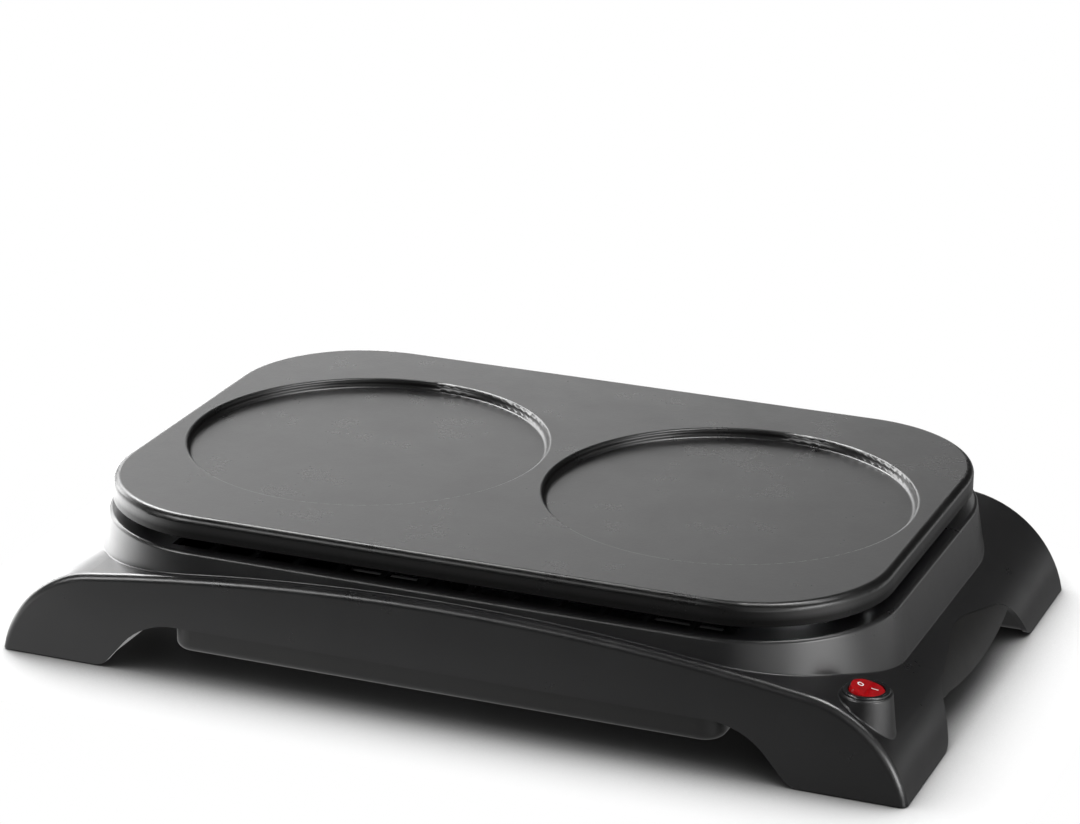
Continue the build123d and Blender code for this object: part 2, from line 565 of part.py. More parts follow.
def baking_plate():
    """Cast plate: rounded lip, two flat round recesses, even wall below, screw bosses and heat channels."""
    plate = rounded_prism(PLATE_LENGTH, PLATE_DEPTH, PLATE_CORNER, PLATE_BOTTOM, PLATE_TOP)
    plate = fillet(plate.faces().sort_by(Axis.Z)[-1].edges(), PLATE_LIP)
    hollow_length = PLATE_LENGTH - 2 * PLATE_SKIRT
    hollow_depth = PLATE_DEPTH - 2 * PLATE_SKIRT
    hollow = rounded_prism(
        hollow_length, hollow_depth, PLATE_CORNER - PLATE_SKIRT, PLATE_BOTTOM - 1, PLATE_UNDER
    )
    for side in (-1, 1):
        hollow -= disc(RECESS_RADIUS + PLATE_THICKNESS, RECESS_UNDER, PLATE_UNDER + 1, side * RECESS_X)
    plate -= hollow

    for x, y in plate_boss_places():
        plate += disc(PLATE_BOSS_RADIUS, PLATE_BOSS_BOTTOM, PLATE_UNDER + 1, x, y)
    plate += disc(THERMOSTAT_RADIUS + 1, THERMOSTAT_TOP, PLATE_UNDER + 1)
    for side in (-1, 1):
        low = THERMOSTAT_TOP - THERMOSTAT_CAP + THERMOSTAT_FLANGE
        plate += disc(CLIP_BOSS_RADIUS, low, PLATE_UNDER + 1, 0, side * THERMOSTAT_SCREW_Y)
    for x, y in fuse_clip_places():
        plate += disc(CLIP_BOSS_RADIUS, FUSE_Z, PLATE_UNDER + 1, x, y)
    for side in (-1, 1):
        inner = ELEMENT_LOOP - ELEMENT_RADIUS - CHANNEL_GAP
        outer = ELEMENT_LOOP + ELEMENT_RADIUS + CHANNEL_GAP
        low = RECESS_UNDER - CHANNEL_DEPTH
        ring = disc(inner, low, RECESS_UNDER + 1, side * RECESS_X)
        ring -= disc(inner - CHANNEL_RIB, low - 1, RECESS_UNDER + 2, side * RECESS_X)
        rim = disc(outer + CHANNEL_RIB, low, RECESS_UNDER + 1, side * RECESS_X)
        rim -= disc(outer, low - 1, RECESS_UNDER + 2, side * RECESS_X)
        mouth = block(
            sorted((0, side * (RECESS_X - ELEMENT_LOOP + 3 * ELEMENT_BEND))),
            (-3 * ELEMENT_LEG_Y, 3 * ELEMENT_LEG_Y),
            (low - 1, RECESS_UNDER),
        )
        plate += ring + rim - mouth
    boss_bottom = ELEMENT_Z - ELEMENT_RADIUS
    for x, y, _ in clip_places():
        plate += disc(CLIP_BOSS_RADIUS, boss_bottom, RECESS_UNDER + 1, x, y)

    for side in (-1, 1):
        pocket = disc(RECESS_RADIUS, RECESS_FLOOR, PLATE_TOP + 1, side * RECESS_X)
        pocket = fillet(pocket.edges().sort_by(Axis.Z)[0], RECESS_COVE_RADIUS)
        plate -= pocket
    rims = [
        edge
        for edge in plate.edges().filter_by(GeomType.CIRCLE)
        if abs(edge.radius - RECESS_RADIUS) < 0.01 and abs(edge.center().Z - PLATE_TOP) < 0.01
    ]
    plate = fillet(rims, RECESS_RIM_RADIUS)

    for x, y in plate_boss_places():
        plate -= disc(PLATE_SCREW_RADIUS, PLATE_BOSS_BOTTOM - 1, PLATE_UNDER - 1, x, y)
    for x, y, _ in clip_places():
        plate -= disc(CLIP_SCREW_RADIUS, boss_bottom - 1, RECESS_UNDER, x, y)
    for side in (-1, 1):
        plate -= disc(CLIP_SCREW_RADIUS, PLATE_BOTTOM - 1, PLATE_UNDER - 1, 0, side * THERMOSTAT_SCREW_Y)
    for x, y in fuse_clip_places():
        plate -= disc(CLIP_SCREW_RADIUS, FUSE_Z - 1, PLATE_UNDER + FUSE_CLIP_SCREW_DEPTH, x, y)
    return plate


def heating_element(side):
    """Tubular element: one loop below the recess, with two legs that bend down at the middle."""
    centre_x = side * RECESS_X
    bend_y = ELEMENT_LEG_Y + ELEMENT_BEND
    bend_reach = ELEMENT_LOOP + ELEMENT_BEND
    bend_run = sqrt(bend_reach**2 - bend_y**2)
    bend_x = centre_x - side * bend_run
    touch = (centre_x - side * bend_run * ELEMENT_LOOP / bend_reach, bend_y * ELEMENT_LOOP / bend_reach)
    middle = ((touch[0] + bend_x) / 2 - bend_x, (touch[1] + ELEMENT_LEG_Y) / 2 - bend_y)
    middle_scale = ELEMENT_BEND / sqrt(middle[0] ** 2 + middle[1] ** 2)
    leg_x = side * ELEMENT_LEG_X
    turn_x = side * (ELEMENT_LEG_X + ELEMENT_LEG_BEND)
    turn_z = ELEMENT_Z - ELEMENT_LEG_BEND
    elbow = ELEMENT_LEG_BEND * (1 - cos(radians(45)))

    def leg(sign):
        y = sign * ELEMENT_LEG_Y
        bend_mid = (bend_x + middle[0] * middle_scale, sign * (bend_y + middle[1] * middle_scale), ELEMENT_Z)
        return [
            Line((leg_x, y, ELEMENT_LEG_END), (leg_x, y, turn_z)),
            ThreePointArc(
                (leg_x, y, turn_z), (leg_x + side * elbow, y, ELEMENT_Z - elbow), (turn_x, y, ELEMENT_Z)
            ),
            Line((turn_x, y, ELEMENT_Z), (bend_x, y, ELEMENT_Z)),
            ThreePointArc((bend_x, y, ELEMENT_Z), bend_mid, (touch[0], sign * touch[1], ELEMENT_Z)),
        ]

    loop = ThreePointArc(
        (touch[0], touch[1], ELEMENT_Z),
        (centre_x + side * ELEMENT_LOOP, 0, ELEMENT_Z),
        (touch[0], -touch[1], ELEMENT_Z),
    )
    path = Wire(leg(1) + [loop] + leg(-1))
    section = Pos(leg_x, ELEMENT_LEG_Y, ELEMENT_LEG_END) * Circle(ELEMENT_RADIUS)
    return sweep(section, path=path)


def leg_places():
    return [(x * ELEMENT_LEG_X, y * ELEMENT_LEG_Y) for x in (-1, 1) for y in (-1, 1)]


def element_insulators():
    """Ceramic beads that close the ends of the element tubes."""
    bead = disc(INSULATOR_RADIUS, ELEMENT_LEG_END - INSULATOR_LENGTH, ELEMENT_LEG_END)
    bead = fillet(bead.edges().sort_by(Axis.Z)[0], INSULATOR_EDGE)
    return [Pos(x, y, 0) * bead for x, y in leg_places()]


def element_tabs():
    """Push-on tabs on the cold pins of the elements."""
    top = ELEMENT_LEG_END - INSULATOR_LENGTH
    tab = block((-TAB_SHEET / 2, TAB_SHEET / 2), (-TAB_WIDTH / 2, TAB_WIDTH / 2), (top - TAB_LENGTH, top))
    tab = chamfer(tab.faces().sort_by(Axis.Z)[0].edges().filter_by(Axis.X), TAB_CHAMFER)
    tab -= Pos(0, 0, top - TAB_LENGTH / 2) * Rot(0, 90, 0) * Cylinder(TAB_HOLE, 4 * TAB_SHEET)
    return [Pos(x, y, 0) * tab for x, y in leg_places()]


def element_clips():
    """Sheet straps that press each element against the plate."""
    strap_z = ELEMENT_Z - ELEMENT_RADIUS
    start, end = -CLIP_BOSS_RADIUS, CLIP_BOSS_INSET + ELEMENT_RADIUS + CLIP_OVERHANG
    strap = block((start, end), (-CLIP_WIDTH / 2, CLIP_WIDTH / 2), (strap_z - CLIP_SHEET, strap_z))
    strap = fillet(strap.edges().filter_by(Axis.Z), CLIP_CORNER)
    strap -= disc(CLIP_SCREW_RADIUS + SCREW_GAP, strap_z - 2, strap_z + 1)
    clips = []
    for side in (-1, 1):
        for angle in CLIP_ANGLES:
            turn = angle if side > 0 else 180 - angle
            reach = ELEMENT_LOOP - CLIP_BOSS_INSET
            clips.append(Pos(side * RECESS_X, 0, 0) * Rot(0, 0, turn) * Pos(reach, 0, 0) * strap)
    return clips


def clip_screws():
    """Screws of the element straps and of the fuse's saddle."""
    one = screw(CLIP_SCREW_HEAD, CLIP_SCREW_HEAD_HEIGHT, CLIP_SCREW_RADIUS, CLIP_SCREW_LENGTH)
    z = ELEMENT_Z - ELEMENT_RADIUS - CLIP_SHEET
    straps = [Pos(x, y, z) * one for x, y, _ in clip_places()]
    return straps + [Pos(x, y, FUSE_Z - FUSE_CLIP_SHEET) * one for x, y in fuse_clip_places()]


def heat_reflector():
    """Pressed sheet pan round the elements, hung by four ears under the plate's bosses."""
    length, depth = OPENING_LENGTH - 2 * REFLECTOR_GAP, OPENING_DEPTH - 2 * REFLECTOR_GAP
    corner = OPENING_CORNER - REFLECTOR_GAP
    top = RECESS_UNDER - REFLECTOR_TO_PLATE
    pan = rounded_prism(length, depth, corner, REFLECTOR_FLOOR, top)
    pan = fillet(pan.faces().sort_by(Axis.Z)[0].edges(), REFLECTOR_EDGE_RADIUS)
    for x, y in plate_boss_places():
        ear = SlotCenterToCenter(2 * abs(x), REFLECTOR_EAR_WIDTH)
        pan += extrude(Pos(0, y, EAR_Z) * ear, amount=REFLECTOR_SHEET)
    inside = rounded_prism(
        length - 2 * REFLECTOR_SHEET,
        depth - 2 * REFLECTOR_SHEET,
        corner - REFLECTOR_SHEET,
        REFLECTOR_FLOOR + REFLECTOR_SHEET,
        top + 1,
    )
    pan -= fillet(inside.faces().sort_by(Axis.Z)[0].edges(), REFLECTOR_EDGE_RADIUS - REFLECTOR_SHEET)
    pan -= rounded_prism(
        *REFLECTOR_WINDOW, REFLECTOR_WINDOW_CORNER, REFLECTOR_FLOOR - 1, REFLECTOR_FLOOR + 2
    )
    for x, y in plate_boss_places():
        pan -= disc(PLATE_SCREW_RADIUS + SCREW_GAP, EAR_Z - 1, EAR_Z + 2, x, y)
    return pan


def plate_spacers():
    """Ceramic rings that keep the hot plate off the ledge."""
    ring = disc(PLATE_BOSS_RADIUS, RIM_HEIGHT, EAR_Z)
    ring -= disc(PLATE_SCREW_RADIUS + SCREW_GAP, RIM_HEIGHT - 1, EAR_Z + 1)
    return [Pos(x, y, 0) * ring for x, y in plate_boss_places()]


def plate_screws():
    """Machine screws from inside the base into the plate's bosses."""
    one = screw(PLATE_SCREW_HEAD, PLATE_SCREW_HEAD_HEIGHT, PLATE_SCREW_RADIUS, PLATE_SCREW_LENGTH)
    return [Pos(x, y, LEDGE_UNDER) * one for x, y in plate_boss_places()]


# ---------------------------------------------------------------- thermostat and fuse
def thermostat_cap():
    """Aluminium cap of the thermostat, flat against the plate."""
    low = THERMOSTAT_TOP - THERMOSTAT_CAP
    cap = disc(THERMOSTAT_RADIUS, low, THERMOSTAT_TOP)
    cap = fillet(cap.edges().sort_by(Axis.Z)[-1], THERMOSTAT_CAP_SHEET)
    inside = THERMOSTAT_RADIUS - THERMOSTAT_CAP_SHEET
    return cap - disc(inside, low - 1, THERMOSTAT_TOP - THERMOSTAT_CAP_SHEET)


def thermostat_body():
    """Moulded body of the thermostat with its two tabs."""
    top = THERMOSTAT_TOP - THERMOSTAT_CAP
    body = disc(THERMOSTAT_RADIUS, top - THERMOSTAT_BODY, top)
    spigot = THERMOSTAT_RADIUS - THERMOSTAT_CAP_SHEET - PLUNGER_CLEARANCE
    body += disc(spigot, top, top + THERMOSTAT_SPIGOT)
    low = top - THERMOSTAT_BODY
    for side in (-1, 1):
        x = side * (THERMOSTAT_RADIUS - THERMOSTAT_TAB_INSET)
        tab_span = sorted((x, x + side * TAB_SHEET))
        body += block(tab_span, (-TAB_WIDTH / 2, TAB_WIDTH / 2), (low - TAB_LENGTH, low + 1))
    return body


def thermostat_flange():
    """Spring flange that holds the thermostat up against the plate."""
    top = THERMOSTAT_TOP - THERMOSTAT_CAP + THERMOSTAT_FLANGE
    low = top - THERMOSTAT_FLANGE
    reach = THERMOSTAT_SCREW_Y + CLIP_BOSS_RADIUS
    plan = RectangleRounded(2 * CLIP_BOSS_RADIUS, 2 * reach, CLIP_BOSS_RADIUS - 0.5)
    plan += Circle(THERMOSTAT_RADIUS + THERMOSTAT_RING)
    flange = extrude(Pos(0, 0, low) * plan, amount=THERMOSTAT_FLANGE)
    flange -= disc(THERMOSTAT_RADIUS + SCREW_GAP, low - 1, top + 1)
    for side in (-1, 1):
        flange -= disc(CLIP_SCREW_RADIUS + SCREW_GAP, low - 1, top + 1, 0, side * THERMOSTAT_SCREW_Y)
    return flange


def thermostat_screws():
    """Screws of the thermostat's flange."""
    one = screw(CLIP_SCREW_HEAD, CLIP_SCREW_HEAD_HEIGHT, CLIP_SCREW_RADIUS, THERMOSTAT_SCREW_LENGTH)
    z = THERMOSTAT_TOP - THERMOSTAT_CAP
    return [Pos(0, side * THERMOSTAT_SCREW_Y, z) * one for side in (-1, 1)]


def fuse_axis():
    return Pos(0, FUSE_Y, FUSE_Z) * Rot(90, 0, 0)


def fuse_clip_places():
    return [(side * FUSE_CLIP_SCREW_X, FUSE_Y) for side in (-1, 1)]


def thermal_fuse():
    """Thermal fuse: a metal case with a lead at each end."""
    case = Cylinder(FUSE_RADIUS, FUSE_LENGTH)
    case = fillet(case.edges(), FUSE_EDGE)
    return fuse_axis() * (case + Cylinder(FUSE_LEAD_RADIUS, FUSE_LENGTH + 2 * FUSE_LEAD))


def fuse_sleeve():
    """Woven glass sleeve over the fuse."""
    outer, length = FUSE_RADIUS + FUSE_SLEEVE, FUSE_LENGTH + 2 * FUSE_SLEEVE_REACH
    return fuse_axis() * (Cylinder(outer, length) - Cylinder(FUSE_RADIUS + ELEMENT_GAP, length + 1))


def fuse_clip():
    """Sheet saddle that holds the sleeved fuse up against the plate, with an ear on each side."""
    bore = FUSE_RADIUS + FUSE_SLEEVE + ELEMENT_GAP
    band = Cylinder(bore + FUSE_CLIP_SHEET, FUSE_CLIP_WIDTH)
    reach = FUSE_CLIP_SCREW_X + CLIP_BOSS_RADIUS
    saddle = Pos(0, FUSE_Y, FUSE_Z) * Rot(90, 0, 0) * band
    ears = RectangleRounded(2 * reach, FUSE_CLIP_WIDTH, CLIP_CORNER)
    saddle += extrude(Pos(0, FUSE_Y, FUSE_Z - FUSE_CLIP_SHEET) * ears, amount=FUSE_CLIP_SHEET)
    saddle -= fuse_axis() * Cylinder(bore, 2 * FUSE_CLIP_WIDTH)
    saddle -= block((-reach, reach), (FUSE_Y - reach, FUSE_Y + reach), (FUSE_Z, PLATE_TOP))
    for x, y in fuse_clip_places():
        saddle -= disc(CLIP_SCREW_RADIUS + SCREW_GAP, FUSE_Z - 1, FUSE_Z + 1, x, y)
    return saddle


# ---------------------------------------------------------------- rocker switch
def switch_case():
    """Round switch case: bezel, barrel with pivot holes, floor and snap tongues."""
    barrel = disc(SWITCH_BARREL, SWITCH_BOTTOM, BOSS_TOP)
    bezel = disc(SWITCH_BEZEL, BOSS_TOP, BOSS_TOP + SWITCH_BEZEL_HEIGHT)
    bezel = fillet(bezel.edges().sort_by(Axis.Z)[-1], SWITCH_BEZEL_HEIGHT * 0.6)
    case = barrel + bezel
    bore = ROCKER_RADIUS + ROCKER_GAP
    case -= disc(bore, SWITCH_BOTTOM + SWITCH_FLOOR, BOSS_TOP + SWITCH_BEZEL_HEIGHT + 1)
    case -= Pos(0, 0, PIVOT_Z) * Rot(90, 0, 0) * Cylinder(
        PIVOT_RADIUS + PIVOT_CLEARANCE, 2 * SWITCH_BARREL + 1
    )
    for index in (-1, 0, 1):
        slit = Box(TAB_SHEET, TERMINAL_WIDTH, 3 * SWITCH_FLOOR)
        case -= Pos(index * TERMINAL_PITCH, 0, SWITCH_BOTTOM) * slit
    for side in (-1, 1):
        tongue = Pos(side * SWITCH_BARREL, 0, BOSS_TOP - BOSS_PANEL - SNAP_DROP)
        tongue *= Box(*SNAP_TONGUE)
        case += tongue - disc(bore, 0, BOSS_TOP)
    return SWITCH_AXIS * case


def rocker_at_rest():
    """Place of the rocker's own frame with the switch on."""
    return SWITCH_AXIS * Pos(0, 0, PIVOT_Z) * Rot(0, ROCKER_THROW / 2, 0)


def rocker():
    """Round translucent rocker: ball-shaped sides, two flat halves in a shallow V, pivot pins and stem."""
    ball = Sphere(ROCKER_RADIUS)
    wide = 2 * ROCKER_RADIUS
    ball -= block((-wide, wide), (-wide, wide), (-wide, -ROCKER_SKIRT))
    for side in (-1, 1):
        tilt = Rot(0, -side * ROCKER_SLOPE, 0)
        keep_off = block(sorted((0, side * wide)), (-wide, wide), (ROCKER_RISE, wide))
        ball -= tilt * keep_off
    inside = disc(ROCKER_RADIUS - 2 * ROCKER_WALL, -2 * ROCKER_SKIRT, ROCKER_CEILING)
    inside -= disc(STEM_RADIUS, -2 * ROCKER_SKIRT, ROCKER_RISE)
    ball -= inside
    ball -= disc(PLUNGER_RADIUS + PLUNGER_CLEARANCE, -2 * ROCKER_SKIRT, PLUNGER_BORE_TOP)
    pins = Rot(90, 0, 0) * Cylinder(PIVOT_RADIUS, 2 * (SWITCH_BARREL - SWITCH_HOLE_GAP))
    ball += pins - disc(ROCKER_RADIUS - ROCKER_WALL, -ROCKER_SKIRT, ROCKER_SKIRT)
    return rocker_at_rest() * ball


def switch_plunger():
    """Sprung pin in the rocker's stem, which tips the contact over."""
    pin = disc(PLUNGER_RADIUS, PLUNGER_TIP, PLUNGER_TOP)
    pin = fillet(pin.edges().sort_by(Axis.Z)[0], PLUNGER_RADIUS * 0.8)
    return rocker_at_rest() * pin


def plunger_spring():
    """Coil spring in the stem, above the pin."""
    low, high = PLUNGER_TOP + SPRING_WIRE, PLUNGER_BORE_TOP - SPRING_WIRE
    coil = Pos(0, 0, low) * Helix((high - low) / SPRING_TURNS, high - low, SPRING_RADIUS)
    section = Plane(origin=coil @ 0, z_dir=coil % 0) * Circle(SPRING_WIRE)
    return rocker_at_rest() * sweep(section, path=coil)


def switch_contact():
    """See-saw contact strip on its fulcrum."""
    strip = Box(SEESAW_LENGTH, SEESAW_WIDTH, SEESAW_SHEET)
    for side in (-1, 1):
        low = -SEESAW_SHEET / 2 - CONTACT_DROP
        strip += disc(CONTACT_RADIUS, low, 0, side * TERMINAL_PITCH)
    return SWITCH_AXIS * Pos(0, 0, SEESAW_Z) * Rot(0, -SEESAW_TILT, 0) * strip


def switch_terminals():
    """Three flat terminals through the case floor; the middle one is the contact's fulcrum."""
    tabs = []
    outer_x = TERMINAL_PITCH + CONTACT_RADIUS
    reach = SEESAW_SHEET / 2 + CONTACT_DROP
    outer_top = SEESAW_Z - outer_x * sin(radians(SEESAW_TILT)) - reach - CONTACT_GAP
    middle_top = SEESAW_Z - SEESAW_SHEET / 2 - 2 * CONTACT_GAP
    for index in (-1, 0, 1):
        top = middle_top if index == 0 else outer_top
        tab = block(
            (-TAB_SHEET / 2, TAB_SHEET / 2),
            (-TERMINAL_WIDTH / 2, TERMINAL_WIDTH / 2),
            (SWITCH_BOTTOM - TAB_LENGTH, top),
        )
        if index == 0:
            tab = fillet(tab.faces().sort_by(Axis.Z)[-1].edges().filter_by(Axis.Y), FULCRUM_RADIUS)
        tabs.append(SWITCH_AXIS * Pos(index * TERMINAL_PITCH, 0, 0) * tab)
    return tabs


def switch_lamp():
    """Glow lamp beside the contact strip."""
    lamp = Rot(0, 90, 0) * Cylinder(LAMP_RADIUS, LAMP_LENGTH)
    lamp = fillet(lamp.edges(), LAMP_RADIUS * 0.7)
    z = SWITCH_BOTTOM + SWITCH_FLOOR + LAMP_RADIUS + SWITCH_HOLE_GAP
    return SWITCH_AXIS * Pos(0, LAMP_Y, z) * lamp


# ---------------------------------------------------------------- mains inlet
def cord_gland():
    """Gland behind the rear panel, with its collar flush in the panel."""
    panel_inside = BASE_DEPTH / 2 - WALL
    axis = Pos(GLAND_X, 0, GLAND_HEIGHT) * Rot(-90, 0, 0)
    gland = disc(GLAND_COLLAR, panel_inside - 1, BASE_DEPTH / 2 - GLAND_SINK)
    gland += disc(GLAND_FLANGE, panel_inside - GLAND_FLANGE_THICKNESS, panel_inside)
    gland += disc(GLAND_COLLAR, panel_inside - GLAND_TAIL, panel_inside)
    gland -= disc(GLAND_BORE, 0, BASE_DEPTH)
    return axis * gland


def terminal_block():
    """Three-way screw terminal block on the belly's floor."""
    length, depth, height = BLOCK_SIZE
    base = Pos(BLOCK_X, BLOCK_Y, BELLY_FLOOR + height / 2) * Box(length, depth, height)
    base = fillet(base.edges().filter_by(Axis.Z), BLOCK_CORNER)
    for index in range(BLOCK_WAYS):
        x = BLOCK_X + (index - (BLOCK_WAYS - 1) / 2) * BLOCK_PITCH
        base -= Pos(x, BLOCK_Y, BELLY_FLOOR + height / 2) * Rot(90, 0, 0) * Cylinder(BLOCK_BORE, depth + 2)
        for side in (-1, 1):
            top = BELLY_FLOOR + height
            radius = BLOCK_SCREW_RADIUS + SWITCH_HOLE_GAP
            base -= disc(radius, top - BLOCK_SCREW_DEPTH, top + 1, x, BLOCK_Y + side * depth / 4)
    return base


def block_screws():
    """Clamping screws of the terminal block."""
    screws = []
    top = BELLY_FLOOR + BLOCK_SIZE[2]
    for index in range(BLOCK_WAYS):
        x = BLOCK_X + (index - (BLOCK_WAYS - 1) / 2) * BLOCK_PITCH
        for side in (-1, 1):
            body = disc(BLOCK_SCREW_RADIUS, top - BLOCK_SCREW_DEPTH, top - BLOCK_SCREW_SINK)
            body -= Pos(0, 0, top - BLOCK_SCREW_SINK) * Box(3 * BLOCK_SCREW_RADIUS, *BLOCK_SLOT)
            screws.append(Pos(x, BLOCK_Y + side * BLOCK_SIZE[1] / 4, 0) * body)
    return screws


# ---------------------------------------------------------------- write the nodes
NODES = {
    "base_housing": base_housing,
    "bottom_pan": bottom_pan,
    "pan_screws": pan_screws,
    "rubber_feet": rubber_feet,
    "baking_plate": baking_plate,
    "heating_element_left": lambda: heating_element(-1),
    "heating_element_right": lambda: heating_element(1),
    "element_insulators": element_insulators,
    "element_tabs": element_tabs,
    "element_clips": element_clips,
    "clip_screws": clip_screws,
    "heat_reflector": heat_reflector,
    "plate_spacers": plate_spacers,
    "plate_screws": plate_screws,
    "thermostat_cap": thermostat_cap,
    "thermostat_body": thermostat_body,
    "thermostat_flange": thermostat_flange,
    "thermostat_screws": thermostat_screws,
    "thermal_fuse": thermal_fuse,
    "fuse_sleeve": fuse_sleeve,
    "fuse_clip": fuse_clip,
    "switch_case": switch_case,
    "rocker": rocker,
    "switch_plunger": switch_plunger,
    "plunger_spring": plunger_spring,
    "switch_contact": switch_contact,
    "switch_terminals": switch_terminals,
    "switch_lamp": switch_lamp,
    "cord_gland": cord_gland,
    "terminal_block": terminal_block,
    "block_screws": block_screws,
}


def main():
    os.makedirs("parts", exist_ok=True)
    for name, make in NODES.items():
        shape = make()
        if isinstance(shape, list):
            shape = Compound(children=[solid for piece in shape for solid in piece.solids()])
        shape.label = name
        export_step(shape, f"parts/{name}.step")


main()
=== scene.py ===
import math

import bpy
from bpy.props import FloatProperty, FloatVectorProperty, IntProperty, PointerProperty
from mathutils import Matrix, Vector


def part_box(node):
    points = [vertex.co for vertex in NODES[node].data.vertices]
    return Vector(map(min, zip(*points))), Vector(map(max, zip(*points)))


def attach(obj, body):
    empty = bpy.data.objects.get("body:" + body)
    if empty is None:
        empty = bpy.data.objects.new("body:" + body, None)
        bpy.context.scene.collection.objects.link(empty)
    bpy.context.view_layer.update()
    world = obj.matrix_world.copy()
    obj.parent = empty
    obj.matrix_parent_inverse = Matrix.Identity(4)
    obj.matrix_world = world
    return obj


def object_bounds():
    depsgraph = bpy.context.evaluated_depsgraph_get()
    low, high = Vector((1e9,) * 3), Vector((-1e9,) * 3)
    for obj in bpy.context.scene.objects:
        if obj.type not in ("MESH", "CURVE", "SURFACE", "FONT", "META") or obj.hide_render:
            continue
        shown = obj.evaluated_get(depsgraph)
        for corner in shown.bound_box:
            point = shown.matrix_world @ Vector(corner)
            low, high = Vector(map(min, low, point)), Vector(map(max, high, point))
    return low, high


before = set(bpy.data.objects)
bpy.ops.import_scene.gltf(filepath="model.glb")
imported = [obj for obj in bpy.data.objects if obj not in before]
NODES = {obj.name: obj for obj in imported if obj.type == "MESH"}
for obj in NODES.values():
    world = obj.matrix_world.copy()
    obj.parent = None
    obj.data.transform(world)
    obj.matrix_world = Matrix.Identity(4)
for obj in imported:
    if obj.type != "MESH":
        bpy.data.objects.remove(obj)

bl_info = {
    "name": "Crepe Maker Dresser",
    "version": (1, 0, 0),
    "blender": (4, 5, 0),
    "location": "View3D > Sidebar > Crepe Maker",
    "description": "Gives the packed crepe maker its finishes, signs, panels and a plain studio",
    "category": "Object",
}

CAD_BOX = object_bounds()

# Windows that gloss shows: azimuth, elevation, inner and outer angle, strength; the azimuth runs
# from the rear to the right, and the last two serve the views from behind and from the left
WINDOWS = (
    (-27.0, 11.0, 5.0, 20.0, 2.0),
    (-48.0, 27.0, 5.0, 15.0, 9.0),
    (-49.0, 46.0, 5.0, 12.0, 32.0),
    (-80.0, 2.0, 8.0, 24.0, 2.5),
    (40.0, 76.0, 4.0, 12.0, 26.0),
    (84.0, 58.0, 4.0, 11.0, 12.0),
    (112.0, 2.0, 8.0, 24.0, 13.0),
    (-65.0, 15.0, 5.0, 14.0, 12.0),
    (-138.0, 30.0, 4.0, 14.0, 15.0),
    (148.0, 26.0, 8.0, 28.0, 1.1),
    (78.0, 16.0, 8.0, 30.0, 0.8),
)
# Strength of that room between its windows
ROOM_GLOW = 0.05

# Soft lights: name, place, width and height, power
LIGHTS = (
    ("left", (-2.0, -0.4, 1.0), (1.4, 1.2), 16.0),
    ("back_left", (-1.5, 2.0, 1.4), (1.8, 1.4), 20.0),
    ("overhead", (0.0, -0.2, 2.4), (2.4, 2.0), 40.0),
    ("right", (2.2, -0.4, 1.2), (0.8, 0.8), 4.0),
)
# Where the lights aim
LIGHT_TARGET = (0.0, 0.0, 0.04)

# Floor: from the footprint to where it is pure white, and the reach of its soft shadow
FLOOR_FADE = 0.06
SHADOW_REACH = 0.07


# ------------------------------------------------------------------ settings
class CrepeFinishSettings(bpy.types.PropertyGroup):
    """Colours and roughness of the surfaces."""

    housing_colour: FloatVectorProperty(
        name="Housing",
        description="Colour of the upper moulding",
        subtype="COLOR",
        size=3,
        min=0.0,
        max=1.0,
        default=(0.0088, 0.0087, 0.009),
    )
    # The pan's own black, made darker than the housing as painted shade for its faces set back
    # under the housing's lower edge
    pan_colour_with_painted_shade: FloatVectorProperty(
        name="Bottom pan",
        description="Colour of the lower moulding",
        subtype="COLOR",
        size=3,
        min=0.0,
        max=1.0,
        default=(0.0062, 0.006, 0.0058),
    )
    coating_colour: FloatVectorProperty(
        name="Plate coating",
        description="Colour of the non-stick coating",
        subtype="COLOR",
        size=3,
        min=0.0,
        max=1.0,
        default=(0.0036, 0.0035, 0.0035),
    )
    rocker_colour: FloatVectorProperty(
        name="Rocker",
        description="Colour of the translucent rocker",
        subtype="COLOR",
        size=3,
        min=0.0,
        max=1.0,
        default=(0.33, 0.0006, 0.003),
    )
    sign_colour: FloatVectorProperty(
        name="Switch signs",
        description="Colour of the printed signs on the rocker",
        subtype="COLOR",
        size=3,
        min=0.0,
        max=1.0,
        default=(0.86, 0.86, 0.85),
    )
    housing_roughness: FloatProperty(
        name="Housing roughness",
        description="Roughness of the upper moulding's fine texture",
        subtype="FACTOR",
        min=0.05,
        max=1.0,
        default=0.3,
    )
    coating_roughness: FloatProperty(
        name="Coating roughness",
        description="Roughness of the plate's coating",
        subtype="FACTOR",
        min=0.05,
        max=1.0,
        default=0.3,
    )


